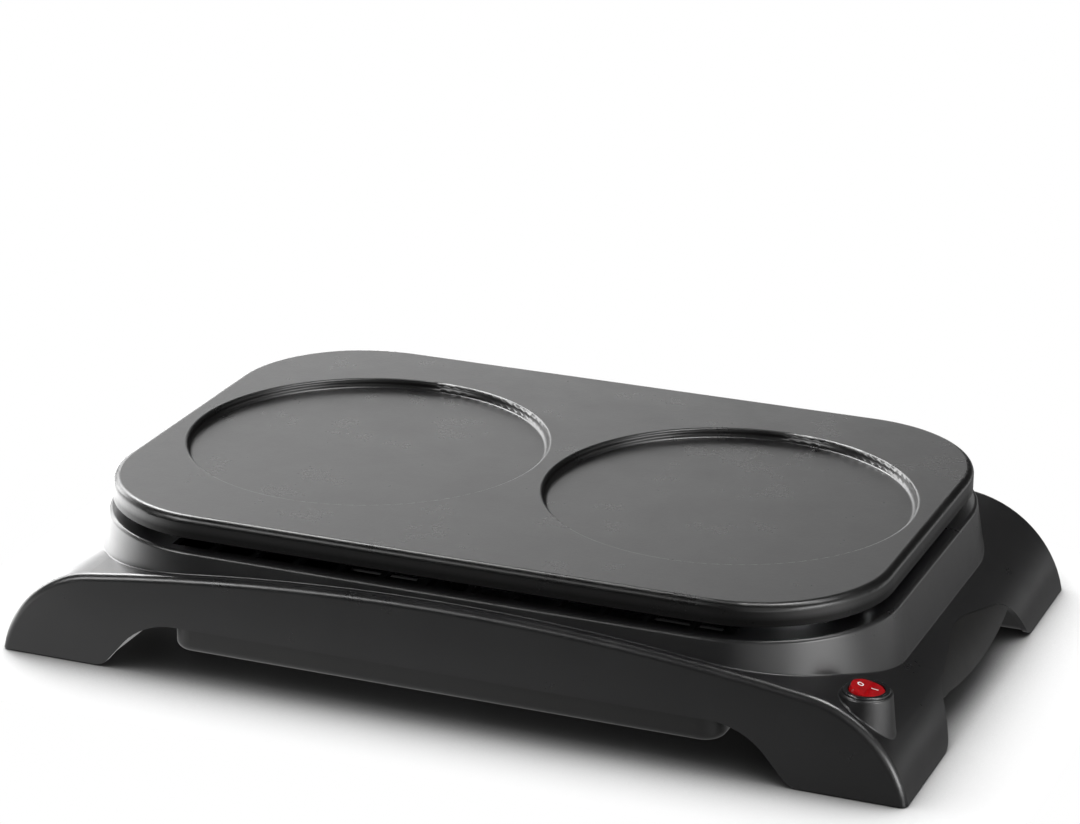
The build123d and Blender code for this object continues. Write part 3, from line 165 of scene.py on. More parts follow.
class CrepeSignSettings(bpy.types.PropertyGroup):
    """Sizes and places of the two signs on the rocker, from its pivot."""

    pivot: FloatVectorProperty(
        name="Pivot",
        description="Middle of the rocker's pivot pins",
        subtype="XYZ",
        unit="LENGTH",
        size=3,
        default=(0.2264, -0.1354, 0.0502),
    )
    face_height: FloatProperty(
        name="Face height",
        description="Height of each half of the rocker over its pivot",
        unit="LENGTH",
        default=0.0024,
    )
    off_slope: FloatProperty(
        name="Off half",
        description="Slope of the raised half, with the ring sign, at rest",
        subtype="ANGLE",
        default=math.radians(18.0),
    )
    on_slope: FloatProperty(
        name="On half",
        description="Slope of the lowered half, with the bar sign, at rest",
        subtype="ANGLE",
        default=math.radians(8.0),
    )
    ring_place: FloatVectorProperty(
        name="Ring place",
        description="Middle of the ring on its half of the rocker, from the pivot",
        unit="LENGTH",
        size=2,
        default=(-0.0046, 0.0014),
    )
    bar_place: FloatVectorProperty(
        name="Bar place",
        description="Middle of the bar on its half of the rocker, from the pivot",
        unit="LENGTH",
        size=2,
        default=(0.0034, 0.0018),
    )
    ring_radius: FloatProperty(
        name="Ring radius",
        description="Outer radius of the ring sign",
        unit="LENGTH",
        default=0.00165,
    )
    stroke: FloatProperty(
        name="Stroke",
        description="Width of the signs' strokes",
        unit="LENGTH",
        default=0.00055,
    )
    bar_length: FloatProperty(
        name="Bar length",
        description="Length of the bar sign",
        unit="LENGTH",
        default=0.0038,
    )
    ink: FloatProperty(
        name="Print thickness",
        description="Thickness of the print",
        unit="LENGTH",
        default=0.00006,
    )
    segments: IntProperty(
        name="Ring sides",
        description="Sides of the ring sign",
        min=16,
        max=128,
        default=48,
    )


class CrepePanelSettings(bpy.types.PropertyGroup):
    """The pan's outer panels, which fill the arches between the feet of each end."""

    end_radius: FloatProperty(
        name="End radius",
        description="Radius of the panel's outer face, seen from the front",
        unit="LENGTH",
        default=0.0634,
    )
    end_centre: FloatVectorProperty(
        name="End centre",
        description="Axis of that face: from the middle of the object, and over the table",
        unit="LENGTH",
        size=2,
        default=(0.19236, -0.011),
    )
    thickness: FloatProperty(
        name="Panel thickness",
        description="Thickness of the panel",
        unit="LENGTH",
        default=0.0028,
    )
    head: FloatVectorProperty(
        name="Arch head",
        description="Where the leg turns into the crown: half width and height",
        unit="LENGTH",
        size=2,
        default=(0.0635, 0.026),
    )
    crown: FloatProperty(
        name="Crown",
        description="Height of the arch's crown",
        unit="LENGTH",
        default=0.0385,
    )
    leg_run: FloatProperty(
        name="Leg run",
        description="Run of the leg from the housing's lowest edge to the head",
        unit="LENGTH",
        default=0.0165,
    )
    leg_foot: FloatProperty(
        name="Leg foot",
        description="Height of that lowest edge",
        unit="LENGTH",
        default=0.0008,
    )
    head_radius: FloatProperty(
        name="Head radius",
        description="Rounding of the head",
        unit="LENGTH",
        default=0.03,
    )
    crown_radius: FloatProperty(
        name="Crown radius",
        description="Rounding of the crown",
        unit="LENGTH",
        default=0.09,
    )
    gap: FloatProperty(
        name="Gap",
        description="Gap to the arch",
        unit="LENGTH",
        default=0.0003,
    )
    low: FloatProperty(
        name="Lowest point",
        description="Height of the hanging edge's middle",
        unit="LENGTH",
        default=0.0174,
    )
    hang_radius: FloatProperty(
        name="Edge radius",
        description="Radius of the hanging lower edge",
        unit="LENGTH",
        default=0.42,
    )


class CrepeStageSettings(bpy.types.PropertyGroup):
    """Camera and studio."""

    camera_place: FloatVectorProperty(
        name="Camera place",
        description="Where the camera stands",
        subtype="XYZ",
        unit="LENGTH",
        size=3,
        default=(0.70449, -1.7781, 0.81391),
    )
    camera_azimuth: FloatProperty(
        name="Azimuth",
        description="Turn of the camera round the object, from the front",
        subtype="ANGLE",
        default=math.radians(21.718),
    )
    camera_elevation: FloatProperty(
        name="Elevation",
        description="Slope of the camera's view",
        subtype="ANGLE",
        default=math.radians(19.904),
    )
    camera_roll: FloatProperty(
        name="Roll",
        description="Turn of the camera about its own view",
        subtype="ANGLE",
        default=math.radians(0.5183),
    )
    lens: FloatProperty(
        name="Lens",
        description="Focal length on a 36 mm wide picture, in millimetres",
        default=124.708,
    )
    floor_size: FloatProperty(
        name="Floor size",
        description="Width of the studio floor",
        unit="LENGTH",
        default=8.0,
    )


# ------------------------------------------------------------------ materials
# Sockets of a mix node that is set to colours
MIX_SHARE, MIX_FIRST, MIX_SECOND, MIX_RESULT = 0, 6, 7, 2
# Span that a noise mostly keeps to
NOISE_LOW, NOISE_HIGH = 0.3, 0.7


def empty_material(name):
    """A node material with nothing but its output."""
    material = bpy.data.materials.new(name)
    material.use_nodes = True
    tree = material.node_tree
    tree.nodes.clear()
    return material, tree, tree.nodes.new("ShaderNodeOutputMaterial")


def new_material(name):
    """A node material with a Principled shader."""
    material, tree, output = empty_material(name)
    shader = tree.nodes.new("ShaderNodeBsdfPrincipled")
    tree.links.new(shader.outputs["BSDF"], output.inputs["Surface"])
    return material, tree, shader


def object_coordinates(tree):
    return tree.nodes.new("ShaderNodeTexCoord").outputs["Object"]


def noise(tree, place, scale, detail, roughness):
    """Noise on the object's own coordinates."""
    node = tree.nodes.new("ShaderNodeTexNoise")
    node.inputs["Scale"].default_value = scale
    node.inputs["Detail"].default_value = detail
    node.inputs["Roughness"].default_value = roughness
    tree.links.new(place, node.inputs["Vector"])
    return node.outputs["Fac"]


def stretch(tree, value, low, high, from_low=NOISE_LOW, from_high=NOISE_HIGH):
    """Maps a span of a value, by default the usual one of a noise, to low and high."""
    node = tree.nodes.new("ShaderNodeMapRange")
    node.inputs["From Min"].default_value = from_low
    node.inputs["From Max"].default_value = from_high
    node.inputs["To Min"].default_value = low
    node.inputs["To Max"].default_value = high
    tree.links.new(value, node.inputs["Value"])
    return node.outputs["Result"]


def two_tones(tree, value, dark, light):
    """Mixes two colours by a value; each colour is a socket or plain numbers."""
    node = tree.nodes.new("ShaderNodeMix")
    node.data_type = "RGBA"
    tree.links.new(value, node.inputs[MIX_SHARE])
    for index, colour in ((MIX_FIRST, dark), (MIX_SECOND, light)):
        if isinstance(colour, bpy.types.NodeSocket):
            tree.links.new(colour, node.inputs[index])
        else:
            node.inputs[index].default_value = (*colour, 1.0)
    return node.outputs[MIX_RESULT]


def colour_by(tree, shader, value, dark, light):
    """Base colour that a noise takes from one tone to another."""
    tone = two_tones(tree, stretch(tree, value, 0.0, 1.0), dark, light)
    tree.links.new(tone, shader.inputs["Base Color"])


def roughness_by(tree, shader, value, low, high):
    """Roughness that a noise takes from low to high."""
    tree.links.new(stretch(tree, value, low, high), shader.inputs["Roughness"])


def bump(tree, shader, height, strength, distance, before=None):
    """Relief from a height; before chains an earlier relief."""
    node = tree.nodes.new("ShaderNodeBump")
    node.inputs["Strength"].default_value = strength
    node.inputs["Distance"].default_value = distance
    tree.links.new(height, node.inputs["Height"])
    if before is not None:
        tree.links.new(before.outputs["Normal"], node.inputs["Normal"])
    tree.links.new(node.outputs["Normal"], shader.inputs["Normal"])
    return node


def arithmetic(tree, operation, first, second):
    """One step of arithmetic; each side is a socket or a plain number."""
    node = tree.nodes.new("ShaderNodeMath")
    node.operation = operation
    for socket, value in zip(node.inputs, (first, second)):
        if isinstance(value, (int, float)):
            socket.default_value = value
        else:
            tree.links.new(value, socket)
    return node.outputs["Value"]


def vector_step(tree, operation, vector, constant=None):
    """One step of vector arithmetic; the second side, if any, is a plain vector."""
    node = tree.nodes.new("ShaderNodeVectorMath")
    node.operation = operation
    tree.links.new(vector, node.inputs[0])
    if constant is not None:
        node.inputs[1].default_value = constant
    return node


def coordinate_parts(tree, vector):
    """The X, Y and Z of a vector."""
    node = tree.nodes.new("ShaderNodeSeparateXYZ")
    tree.links.new(vector, node.inputs["Vector"])
    return node.outputs["X"], node.outputs["Y"], node.outputs["Z"]


def tint(colour, factor):
    return tuple(min(1.0, channel * factor) for channel in colour)


def moulded_plastic(name, colour, roughness, grain_size, grain_depth):
    """Moulded plastic: spark-eroded grain, faint flow marks and uneven sheen."""
    material, tree, shader = new_material(name)
    place = object_coordinates(tree)
    flow = noise(tree, place, scale=14.0, detail=4.0, roughness=0.6)
    colour_by(tree, shader, flow, tint(colour, 0.82), tint(colour, 1.22))
    sheen = noise(tree, place, scale=38.0, detail=5.0, roughness=0.65)
    roughness_by(tree, shader, sheen, roughness - 0.035, roughness + 0.045)
    shader.inputs["IOR"].default_value = 1.5
    grain = noise(tree, place, scale=1.0 / grain_size, detail=2.0, roughness=0.6)
    bump(tree, shader, grain, strength=0.35, distance=grain_depth)
    return material


def baked_coating(name, colour, roughness, top):
    """Non-stick coating: light flecks, orange peel and wear, with a duller skirt below its top."""
    material, tree, shader = new_material(name)
    place = object_coordinates(tree)
    cloud = noise(tree, place, scale=9.0, detail=5.0, roughness=0.6)
    ground = two_tones(
        tree, stretch(tree, cloud, 0.0, 1.0), tint(colour, 0.88), tint(colour, 1.14)
    )
    flecks = tree.nodes.new("ShaderNodeTexVoronoi")
    flecks.inputs["Scale"].default_value = 900.0
    tree.links.new(place, flecks.inputs["Vector"])
    speck = stretch(tree, flecks.outputs["Distance"], 1.0, 0.0, from_low=0.04, from_high=0.16)
    tone = two_tones(tree, speck, ground, tint(colour, 3.0))
    tree.links.new(tone, shader.inputs["Base Color"])
    rubbed = noise(tree, place, scale=22.0, detail=6.0, roughness=0.7)
    roughness_by(tree, shader, rubbed, roughness - 0.05, roughness + 0.05)
    shader.inputs["IOR"].default_value = 1.42
    height = coordinate_parts(tree, place)[2]
    skirt, lip = top - 0.009, top - 0.006
    gloss = stretch(tree, height, 0.15, 0.5, from_low=skirt, from_high=lip)
    tree.links.new(gloss, shader.inputs["Specular IOR Level"])
    peel = noise(tree, place, scale=420.0, detail=2.0, roughness=0.5)
    relief = bump(tree, shader, peel, strength=0.16, distance=0.0002)
    grain = noise(tree, place, scale=2600.0, detail=2.0, roughness=0.6)
    bump(tree, shader, grain, strength=0.12, distance=0.00006, before=relief)
    return material


def rubber(name, colour):
    """Matt rubber with a dusty bloom."""
    material, tree, shader = new_material(name)
    place = object_coordinates(tree)
    bloom = noise(tree, place, scale=120.0, detail=5.0, roughness=0.7)
    colour_by(tree, shader, bloom, colour, tint(colour, 1.9))
    roughness_by(tree, shader, bloom, 0.68, 0.86)
    skin = noise(tree, place, scale=900.0, detail=3.0, roughness=0.6)
    bump(tree, shader, skin, strength=0.3, distance=0.00012)
    return material


def sheet_metal(name, colour, roughness, grain_axis="X"):
    """Rolled or plated metal with fine lengthwise grain and light stains."""
    material, tree, shader = new_material(name)
    place = object_coordinates(tree)
    along, across = 30.0, 1400.0
    drawn = tree.nodes.new("ShaderNodeMapping")
    drawn.inputs["Scale"].default_value = [
        along if axis == grain_axis else across for axis in "XYZ"
    ]
    tree.links.new(place, drawn.inputs["Vector"])
    lines = noise(tree, drawn.outputs["Vector"], scale=1.0, detail=3.0, roughness=0.6)
    stains = noise(tree, place, scale=55.0, detail=4.0, roughness=0.6)
    colour_by(tree, shader, stains, tint(colour, 0.85), tint(colour, 1.08))
    roughness_by(tree, shader, lines, roughness - 0.07, roughness + 0.08)
    shader.inputs["Metallic"].default_value = 1.0
    bump(tree, shader, lines, strength=0.12, distance=0.00004)
    return material


def heat_darkened(name, colour):
    """Steel sheath with the dull blue and brown of use."""
    material, tree, shader = new_material(name)
    place = object_coordinates(tree)
    bands = noise(tree, place, scale=48.0, detail=5.0, roughness=0.6)
    scorched = (0.23, 0.17, 0.13)
    colour_by(tree, shader, bands, tint(colour, 0.6), scorched)
    roughness_by(tree, shader, bands, 0.42, 0.62)
    shader.inputs["Metallic"].default_value = 0.85
    skin = noise(tree, place, scale=1500.0, detail=3.0, roughness=0.6)
    bump(tree, shader, skin, strength=0.3, distance=0.00006)
    return material


def ceramic(name, colour):
    """Unglazed ceramic: fine pores and a little soot."""
    material, tree, shader = new_material(name)
    place = object_coordinates(tree)
    soot = noise(tree, place, scale=90.0, detail=4.0, roughness=0.6)
    colour_by(tree, shader, soot, tint(colour, 0.86), colour)
    roughness_by(tree, shader, soot, 0.55, 0.72)
    pores = noise(tree, place, scale=1300.0, detail=4.0, roughness=0.7)
    bump(tree, shader, pores, strength=0.35, distance=0.0001)
    return material


def woven_sleeve(name, colour):
    """Woven glass sleeve: crossing strands along and round the tube."""
    material, tree, shader = new_material(name)
    strands = tree.nodes.new("ShaderNodeTexChecker")
    strands.inputs["Scale"].default_value = 1400.0
    tree.links.new(object_coordinates(tree), strands.inputs["Vector"])
    tone = two_tones(tree, strands.outputs["Fac"], tint(colour, 0.8), colour)
    tree.links.new(tone, shader.inputs["Base Color"])
    shader.inputs["Roughness"].default_value = 0.7
    bump(tree, shader, strands.outputs["Fac"], strength=0.4, distance=0.0001)
    return material


def translucent_rocker(name, colour):
    """Clear red moulding: deep colour, light through it, and a glossy skin."""
    material, tree, shader = new_material(name)
    depth = noise(tree, object_coordinates(tree), scale=260.0, detail=3.0, roughness=0.5)
    colour_by(tree, shader, depth, tint(colour, 0.78), tint(colour, 1.2))
    roughness_by(tree, shader, depth, 0.08, 0.15)
    shader.inputs["IOR"].default_value = 1.58
    shader.inputs["Subsurface Weight"].default_value = 0.45
    shader.inputs["Subsurface Radius"].default_value = (1.0, 0.08, 0.08)
    shader.inputs["Subsurface Scale"].default_value = 0.003
    shader.inputs["Coat Weight"].default_value = 0.6
    shader.inputs["Coat Roughness"].default_value = 0.06
    return material


def lamp_glass(name):
    """Small clear glow lamp with a warm tint."""
    material, tree, shader = new_material(name)
    haze = noise(tree, object_coordinates(tree), scale=300.0, detail=3.0, roughness=0.5)
    amber, clear = (0.93, 0.62, 0.45), (0.98, 0.82, 0.7)
    colour_by(tree, shader, haze, amber, clear)
    roughness_by(tree, shader, haze, 0.03, 0.09)
    shader.inputs["Transmission Weight"].default_value = 0.8
    shader.inputs["IOR"].default_value = 1.47
    return material


def give(material, *names):
    """Puts a material in every slot of these nodes."""
    for name in names:
        mesh = NODES[name].data
        if not mesh.materials:
            mesh.materials.append(material)
        for index in range(len(mesh.materials)):
            mesh.materials[index] = material


# ------------------------------------------------------------------ modelling helpers
# How near a cut a corner may lie before it is taken as on it
BISECT_THRESHOLD = 1e-7


def deselect_all():
    if bpy.context.object and bpy.context.object.mode != "OBJECT":
        bpy.ops.object.mode_set(mode="OBJECT")
    bpy.ops.object.select_all(action="DESELECT")


def thicken(move):
    """Extrudes the flat piece in edit mode, turns its faces outwards, and leaves edit mode."""
    bpy.ops.mesh.select_all(action="SELECT")
    bpy.ops.mesh.extrude_region_move(TRANSFORM_OT_translate={"value": move})
    bpy.ops.mesh.select_all(action="SELECT")
    bpy.ops.mesh.normals_make_consistent(inside=False)
    bpy.ops.object.mode_set(mode="OBJECT")


def settle(piece, name, matrix, body, material):
    """Names a finished piece, brings its place into its mesh, and lets it ride."""
    piece.name = name
    piece.data.name = name
    piece.data.transform(matrix)
    piece.data.update()
    piece.data.materials.clear()
    piece.data.materials.append(material)
    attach(piece, body)


def direction(degrees):
    """Flat unit vector at an angle."""
    angle = math.radians(degrees)
    return Vector((math.cos(angle), math.sin(angle)))


def tangent_cuts(centre, radius, first, last, steps):
    """Points and outward normals, in the YZ plane, of cuts that round a convex outline."""
    cuts = []
    for step in range(steps + 1):
        normal = Vector((0.0, *direction(first + (last - first) * step / steps)))
        cuts.append((Vector((0.0, *centre)) + normal * radius, normal))
    return cuts


def boolean(piece, cutter, operation):
    """Cuts or keeps by another object, applies it, and removes that object."""
    modifier = piece.modifiers.new("cut", "BOOLEAN")
    modifier.object = cutter
    modifier.operation = operation
    modifier.solver = "EXACT"
    bpy.context.view_layer.objects.active = piece
    bpy.ops.object.modifier_apply(modifier=modifier.name)
    bpy.data.objects.remove(cutter)


# ------------------------------------------------------------------ operators
class CREPE_OT_finish_housing(bpy.types.Operator):
    """Finish the upper moulding, the bottom pan and the rubber feet"""

    bl_idname = "crepe.finish_housing"
    bl_label = "Finish Housing"

    def execute(self, context):
        looks = context.scene.crepe_finish
        upper = moulded_plastic(
            "housing_black",
            looks.housing_colour,
            looks.housing_roughness,
            grain_size=0.0005,
            grain_depth=0.00008,
        )
        # The pan's colour is darker than the housing's as painted shade
        pan_roughness = looks.housing_roughness + 0.08
        lower = moulded_plastic(
            "pan_black", looks.pan_colour_with_painted_shade, pan_roughness, grain_size=0.0007, grain_depth=0.0001
        )
        give(upper, "base_housing")
        give(lower, "bottom_pan", "cord_gland")
        give(rubber("foot_rubber_black", (0.018, 0.018, 0.018)), "rubber_feet")
        return {"FINISHED"}


class CREPE_OT_finish_plate(bpy.types.Operator):
    """Finish the cast baking plate with its coating"""

    bl_idname = "crepe.finish_plate"
    bl_label = "Finish Baking Plate"

    def execute(self, context):
        looks = context.scene.crepe_finish
        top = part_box("baking_plate")[1][2]
        coating = baked_coating("coating_grey", looks.coating_colour, looks.coating_roughness, top)
        give(coating, "baking_plate")
        return {"FINISHED"}


class CREPE_OT_finish_heating(bpy.types.Operator):
    """Finish the heating elements, their fastenings and the reflector"""

    bl_idname = "crepe.finish_heating"
    bl_label = "Finish Heating"

    def execute(self, context):
        zinc = sheet_metal("zinc_plating", (0.6, 0.61, 0.64), roughness=0.34, grain_axis="Z")
        give(zinc, "element_clips", "clip_screws", "plate_screws", "pan_screws")
        give(zinc, "thermostat_screws")
        nickel = sheet_metal("nickel_strip", (0.66, 0.64, 0.6), roughness=0.28)
        give(nickel, "element_tabs", "thermostat_flange", "fuse_clip")
        sheath = heat_darkened("sheath_steel", (0.3, 0.29, 0.28))
        give(sheath, "heating_element_left", "heating_element_right")
        reflector = sheet_metal("reflector_sheet", (0.74, 0.75, 0.77), roughness=0.3)
        give(reflector, "heat_reflector")
        give(ceramic("steatite", (0.8, 0.77, 0.7)), "element_insulators")
        # The plate spacers are coloured near black as painted shade, so the gap under the plate
        # reads dark
        give(ceramic("steatite_painted_shade", (0.012, 0.011, 0.01)), "plate_spacers")
        aluminium = sheet_metal("cap_aluminium", (0.8, 0.8, 0.82), roughness=0.3)
        give(aluminium, "thermostat_cap", "thermal_fuse")
        phenolic = moulded_plastic(
            "phenolic_black", (0.02, 0.018, 0.017), 0.4, grain_size=0.0004, grain_depth=0.00004
        )
        give(phenolic, "thermostat_body")
        give(woven_sleeve("glass_braid", (0.8, 0.8, 0.76)), "fuse_sleeve")
        return {"FINISHED"}


class CREPE_OT_finish_switch(bpy.types.Operator):
    """Finish the rocker switch, inside and out, and the terminal block"""

    bl_idname = "crepe.finish_switch"
    bl_label = "Finish Switch"

    def execute(self, context):
        looks = context.scene.crepe_finish
        nylon = moulded_plastic(
            "switch_nylon", (0.012, 0.012, 0.0125), 0.2, grain_size=0.0012, grain_depth=0.00002
        )
        give(nylon, "switch_case")
        give(translucent_rocker("rocker_clear_red", looks.rocker_colour), "rocker")
        natural = moulded_plastic(
            "natural_nylon", (0.78, 0.77, 0.72), 0.35, grain_size=0.0009, grain_depth=0.00003
        )
        give(natural, "switch_plunger", "terminal_block")
        brass = sheet_metal("contact_brass", (0.78, 0.57, 0.25), roughness=0.26)
        give(brass, "switch_contact", "switch_terminals")
        give(lamp_glass("glow_lamp_glass"), "switch_lamp")
        zinc = sheet_metal("clamp_screw_zinc", (0.62, 0.62, 0.62), roughness=0.3, grain_axis="Z")
        give(zinc, "block_screws", "plunger_spring")
        return {"FINISHED"}


class CREPE_OT_add_switch_signs(bpy.types.Operator):
    """Print the off ring and the on bar on the rocker's two halves"""

    bl_idname = "crepe.add_switch_signs"
    bl_label = "Add Switch Signs"

    def execute(self, context):
        signs = context.scene.crepe_signs
        colour = context.scene.crepe_finish.sign_colour
        ink = moulded_plastic("sign_print", colour, 0.3, grain_size=0.0003, grain_depth=0.00001)
        ring, bar = self.ring(signs), self.bar(signs)
        self.place(ring, "switch_sign_off", signs, signs.off_slope, signs.ring_place, ink)
        self.place(bar, "switch_sign_on", signs, signs.on_slope, signs.bar_place, ink)
        return {"FINISHED"}

    def ring(self, signs):
        """Flat ring, as thick as the print."""
        deselect_all()
        bpy.ops.mesh.primitive_circle_add(
            vertices=signs.segments, radius=signs.ring_radius, fill_type="NGON", location=(0, 0, 0)
        )
        ring = bpy.context.object
        bpy.ops.object.mode_set(mode="EDIT")
        bpy.ops.mesh.select_all(action="SELECT")
        bpy.ops.mesh.inset(thickness=signs.stroke, depth=0.0)
        bpy.ops.mesh.delete(type="FACE")
        thicken((0, 0, signs.ink))
        return ring

    def bar(self, signs):
        """Flat bar with rounded ends, as thick as the print."""
        deselect_all()
        bpy.ops.mesh.primitive_plane_add(size=1.0, location=(0, 0, 0))
        bar = bpy.context.object
        rounding = signs.stroke * 0.45
        bpy.ops.object.mode_set(mode="EDIT")
        bpy.ops.mesh.select_all(action="SELECT")
        bpy.ops.transform.resize(value=(signs.bar_length, signs.stroke, 1.0))
        bpy.ops.mesh.bevel(offset=rounding, segments=6, affect="VERTICES")
        thicken((0, 0, signs.ink))
        return bar

    def place(self, sign, name, signs, slope, spot, ink):
        """Lays a sign on its half of the rocker, with a fifth of the print sunk into the face."""
        lift = signs.face_height - signs.ink * 0.2
        pivot = Matrix.Translation(Vector(signs.pivot))
        laid = pivot @ Matrix.Rotation(slope, 4, "Y") @ Matrix.Translation((*spot, lift))
        settle(sign, name, laid, "rocker", ink)


class CREPE_OT_add_end_panels(bpy.types.Operator):
    """Add the pan's curved panel in the arch of each end"""

    bl_idname = "crepe.add_end_panels"
    bl_label = "Add End Panels"

    def execute(self, context):
        sizes = context.scene.crepe_panels
        material = bpy.data.materials["pan_black"]
        right = self.outline_block(sizes)
        boolean(right, self.end_cylinder(sizes, sizes.end_radius), "INTERSECT")
        boolean(right, self.end_cylinder(sizes, sizes.end_radius - sizes.thickness), "DIFFERENCE")

        left = right.copy()
        left.data = right.data.copy()
        context.collection.objects.link(left)
        left.data.transform(Matrix.Scale(-1.0, 4, (1.0, 0.0, 0.0)))
        left.data.flip_normals()
        for panel, name in ((right, "pan_panel_right"), (left, "pan_panel_left")):
            settle(panel, name, Matrix.Identity(4), "base", material)
        return {"FINISHED"}

    def outline_block(self, sizes):
        """Block with the arch's outline, its lower edge hanging in a shallow curve."""
        start, depth = 0.225, 0.04
        width, height = 0.16, 0.06
        upright = (0, math.radians(90), 0)
        deselect_all()
        bpy.ops.mesh.primitive_plane_add(size=1.0, location=(0, 0, 0), rotation=upright)
        block = bpy.context.object
        bpy.ops.object.transform_apply(location=False, rotation=True, scale=False)
        bpy.ops.object.mode_set(mode="EDIT")
        bpy.ops.mesh.select_all(action="SELECT")
        bpy.ops.transform.resize(value=(1.0, width, height))
        bpy.ops.transform.translate(value=(start, 0.0, height / 2))
        for point, normal in self.cuts(sizes):
            bpy.ops.mesh.select_all(action="SELECT")
            bpy.ops.mesh.bisect(
                plane_co=point, plane_no=normal, clear_outer=True, threshold=BISECT_THRESHOLD
            )
        thicken((depth, 0.0, 0.0))
        return block

    def cuts(self, sizes):
        """Cuts round the crown, the two heads and the hanging edge; each angle is in degrees."""
        half, height = sizes.head
        leg = math.degrees(math.atan2(sizes.leg_run, height - sizes.leg_foot))
        crown = math.degrees(math.atan2(half, sizes.crown - height))
        hang = math.degrees(math.asin(half / sizes.hang_radius))
        bisector = (direction(crown) + direction(leg)).normalized()
        inwards = sizes.head_radius / bisector.dot(direction(leg))
        head_y, head_z = Vector(sizes.head) - bisector * inwards
        crown_z = sizes.crown - sizes.crown_radius / direction(crown).y
        hang_z = sizes.low + sizes.hang_radius
        crown_rounding = sizes.crown_radius - sizes.gap
        head_rounding = sizes.head_radius - sizes.gap
        return [
            *tangent_cuts((0.0, crown_z), crown_rounding, crown, 180 - crown, steps=8),
            *tangent_cuts((head_y, head_z), head_rounding, leg, crown, steps=12),
            *tangent_cuts((-head_y, head_z), head_rounding, 180 - crown, 180 - leg, steps=12),
            *tangent_cuts((0.0, hang_z), sizes.hang_radius, -90 - hang, -90 + hang, steps=16),
        ]

    def end_cylinder(self, sizes, radius):
        """Cylinder along the depth, round the axis of the panel's outer face."""
        across, height = sizes.end_centre
        bpy.ops.mesh.primitive_cylinder_add(
            vertices=512,
            radius=radius,
            depth=0.2,
            location=(across, 0, height),
            rotation=(math.radians(90), 0, 0),
        )
        return bpy.context.object


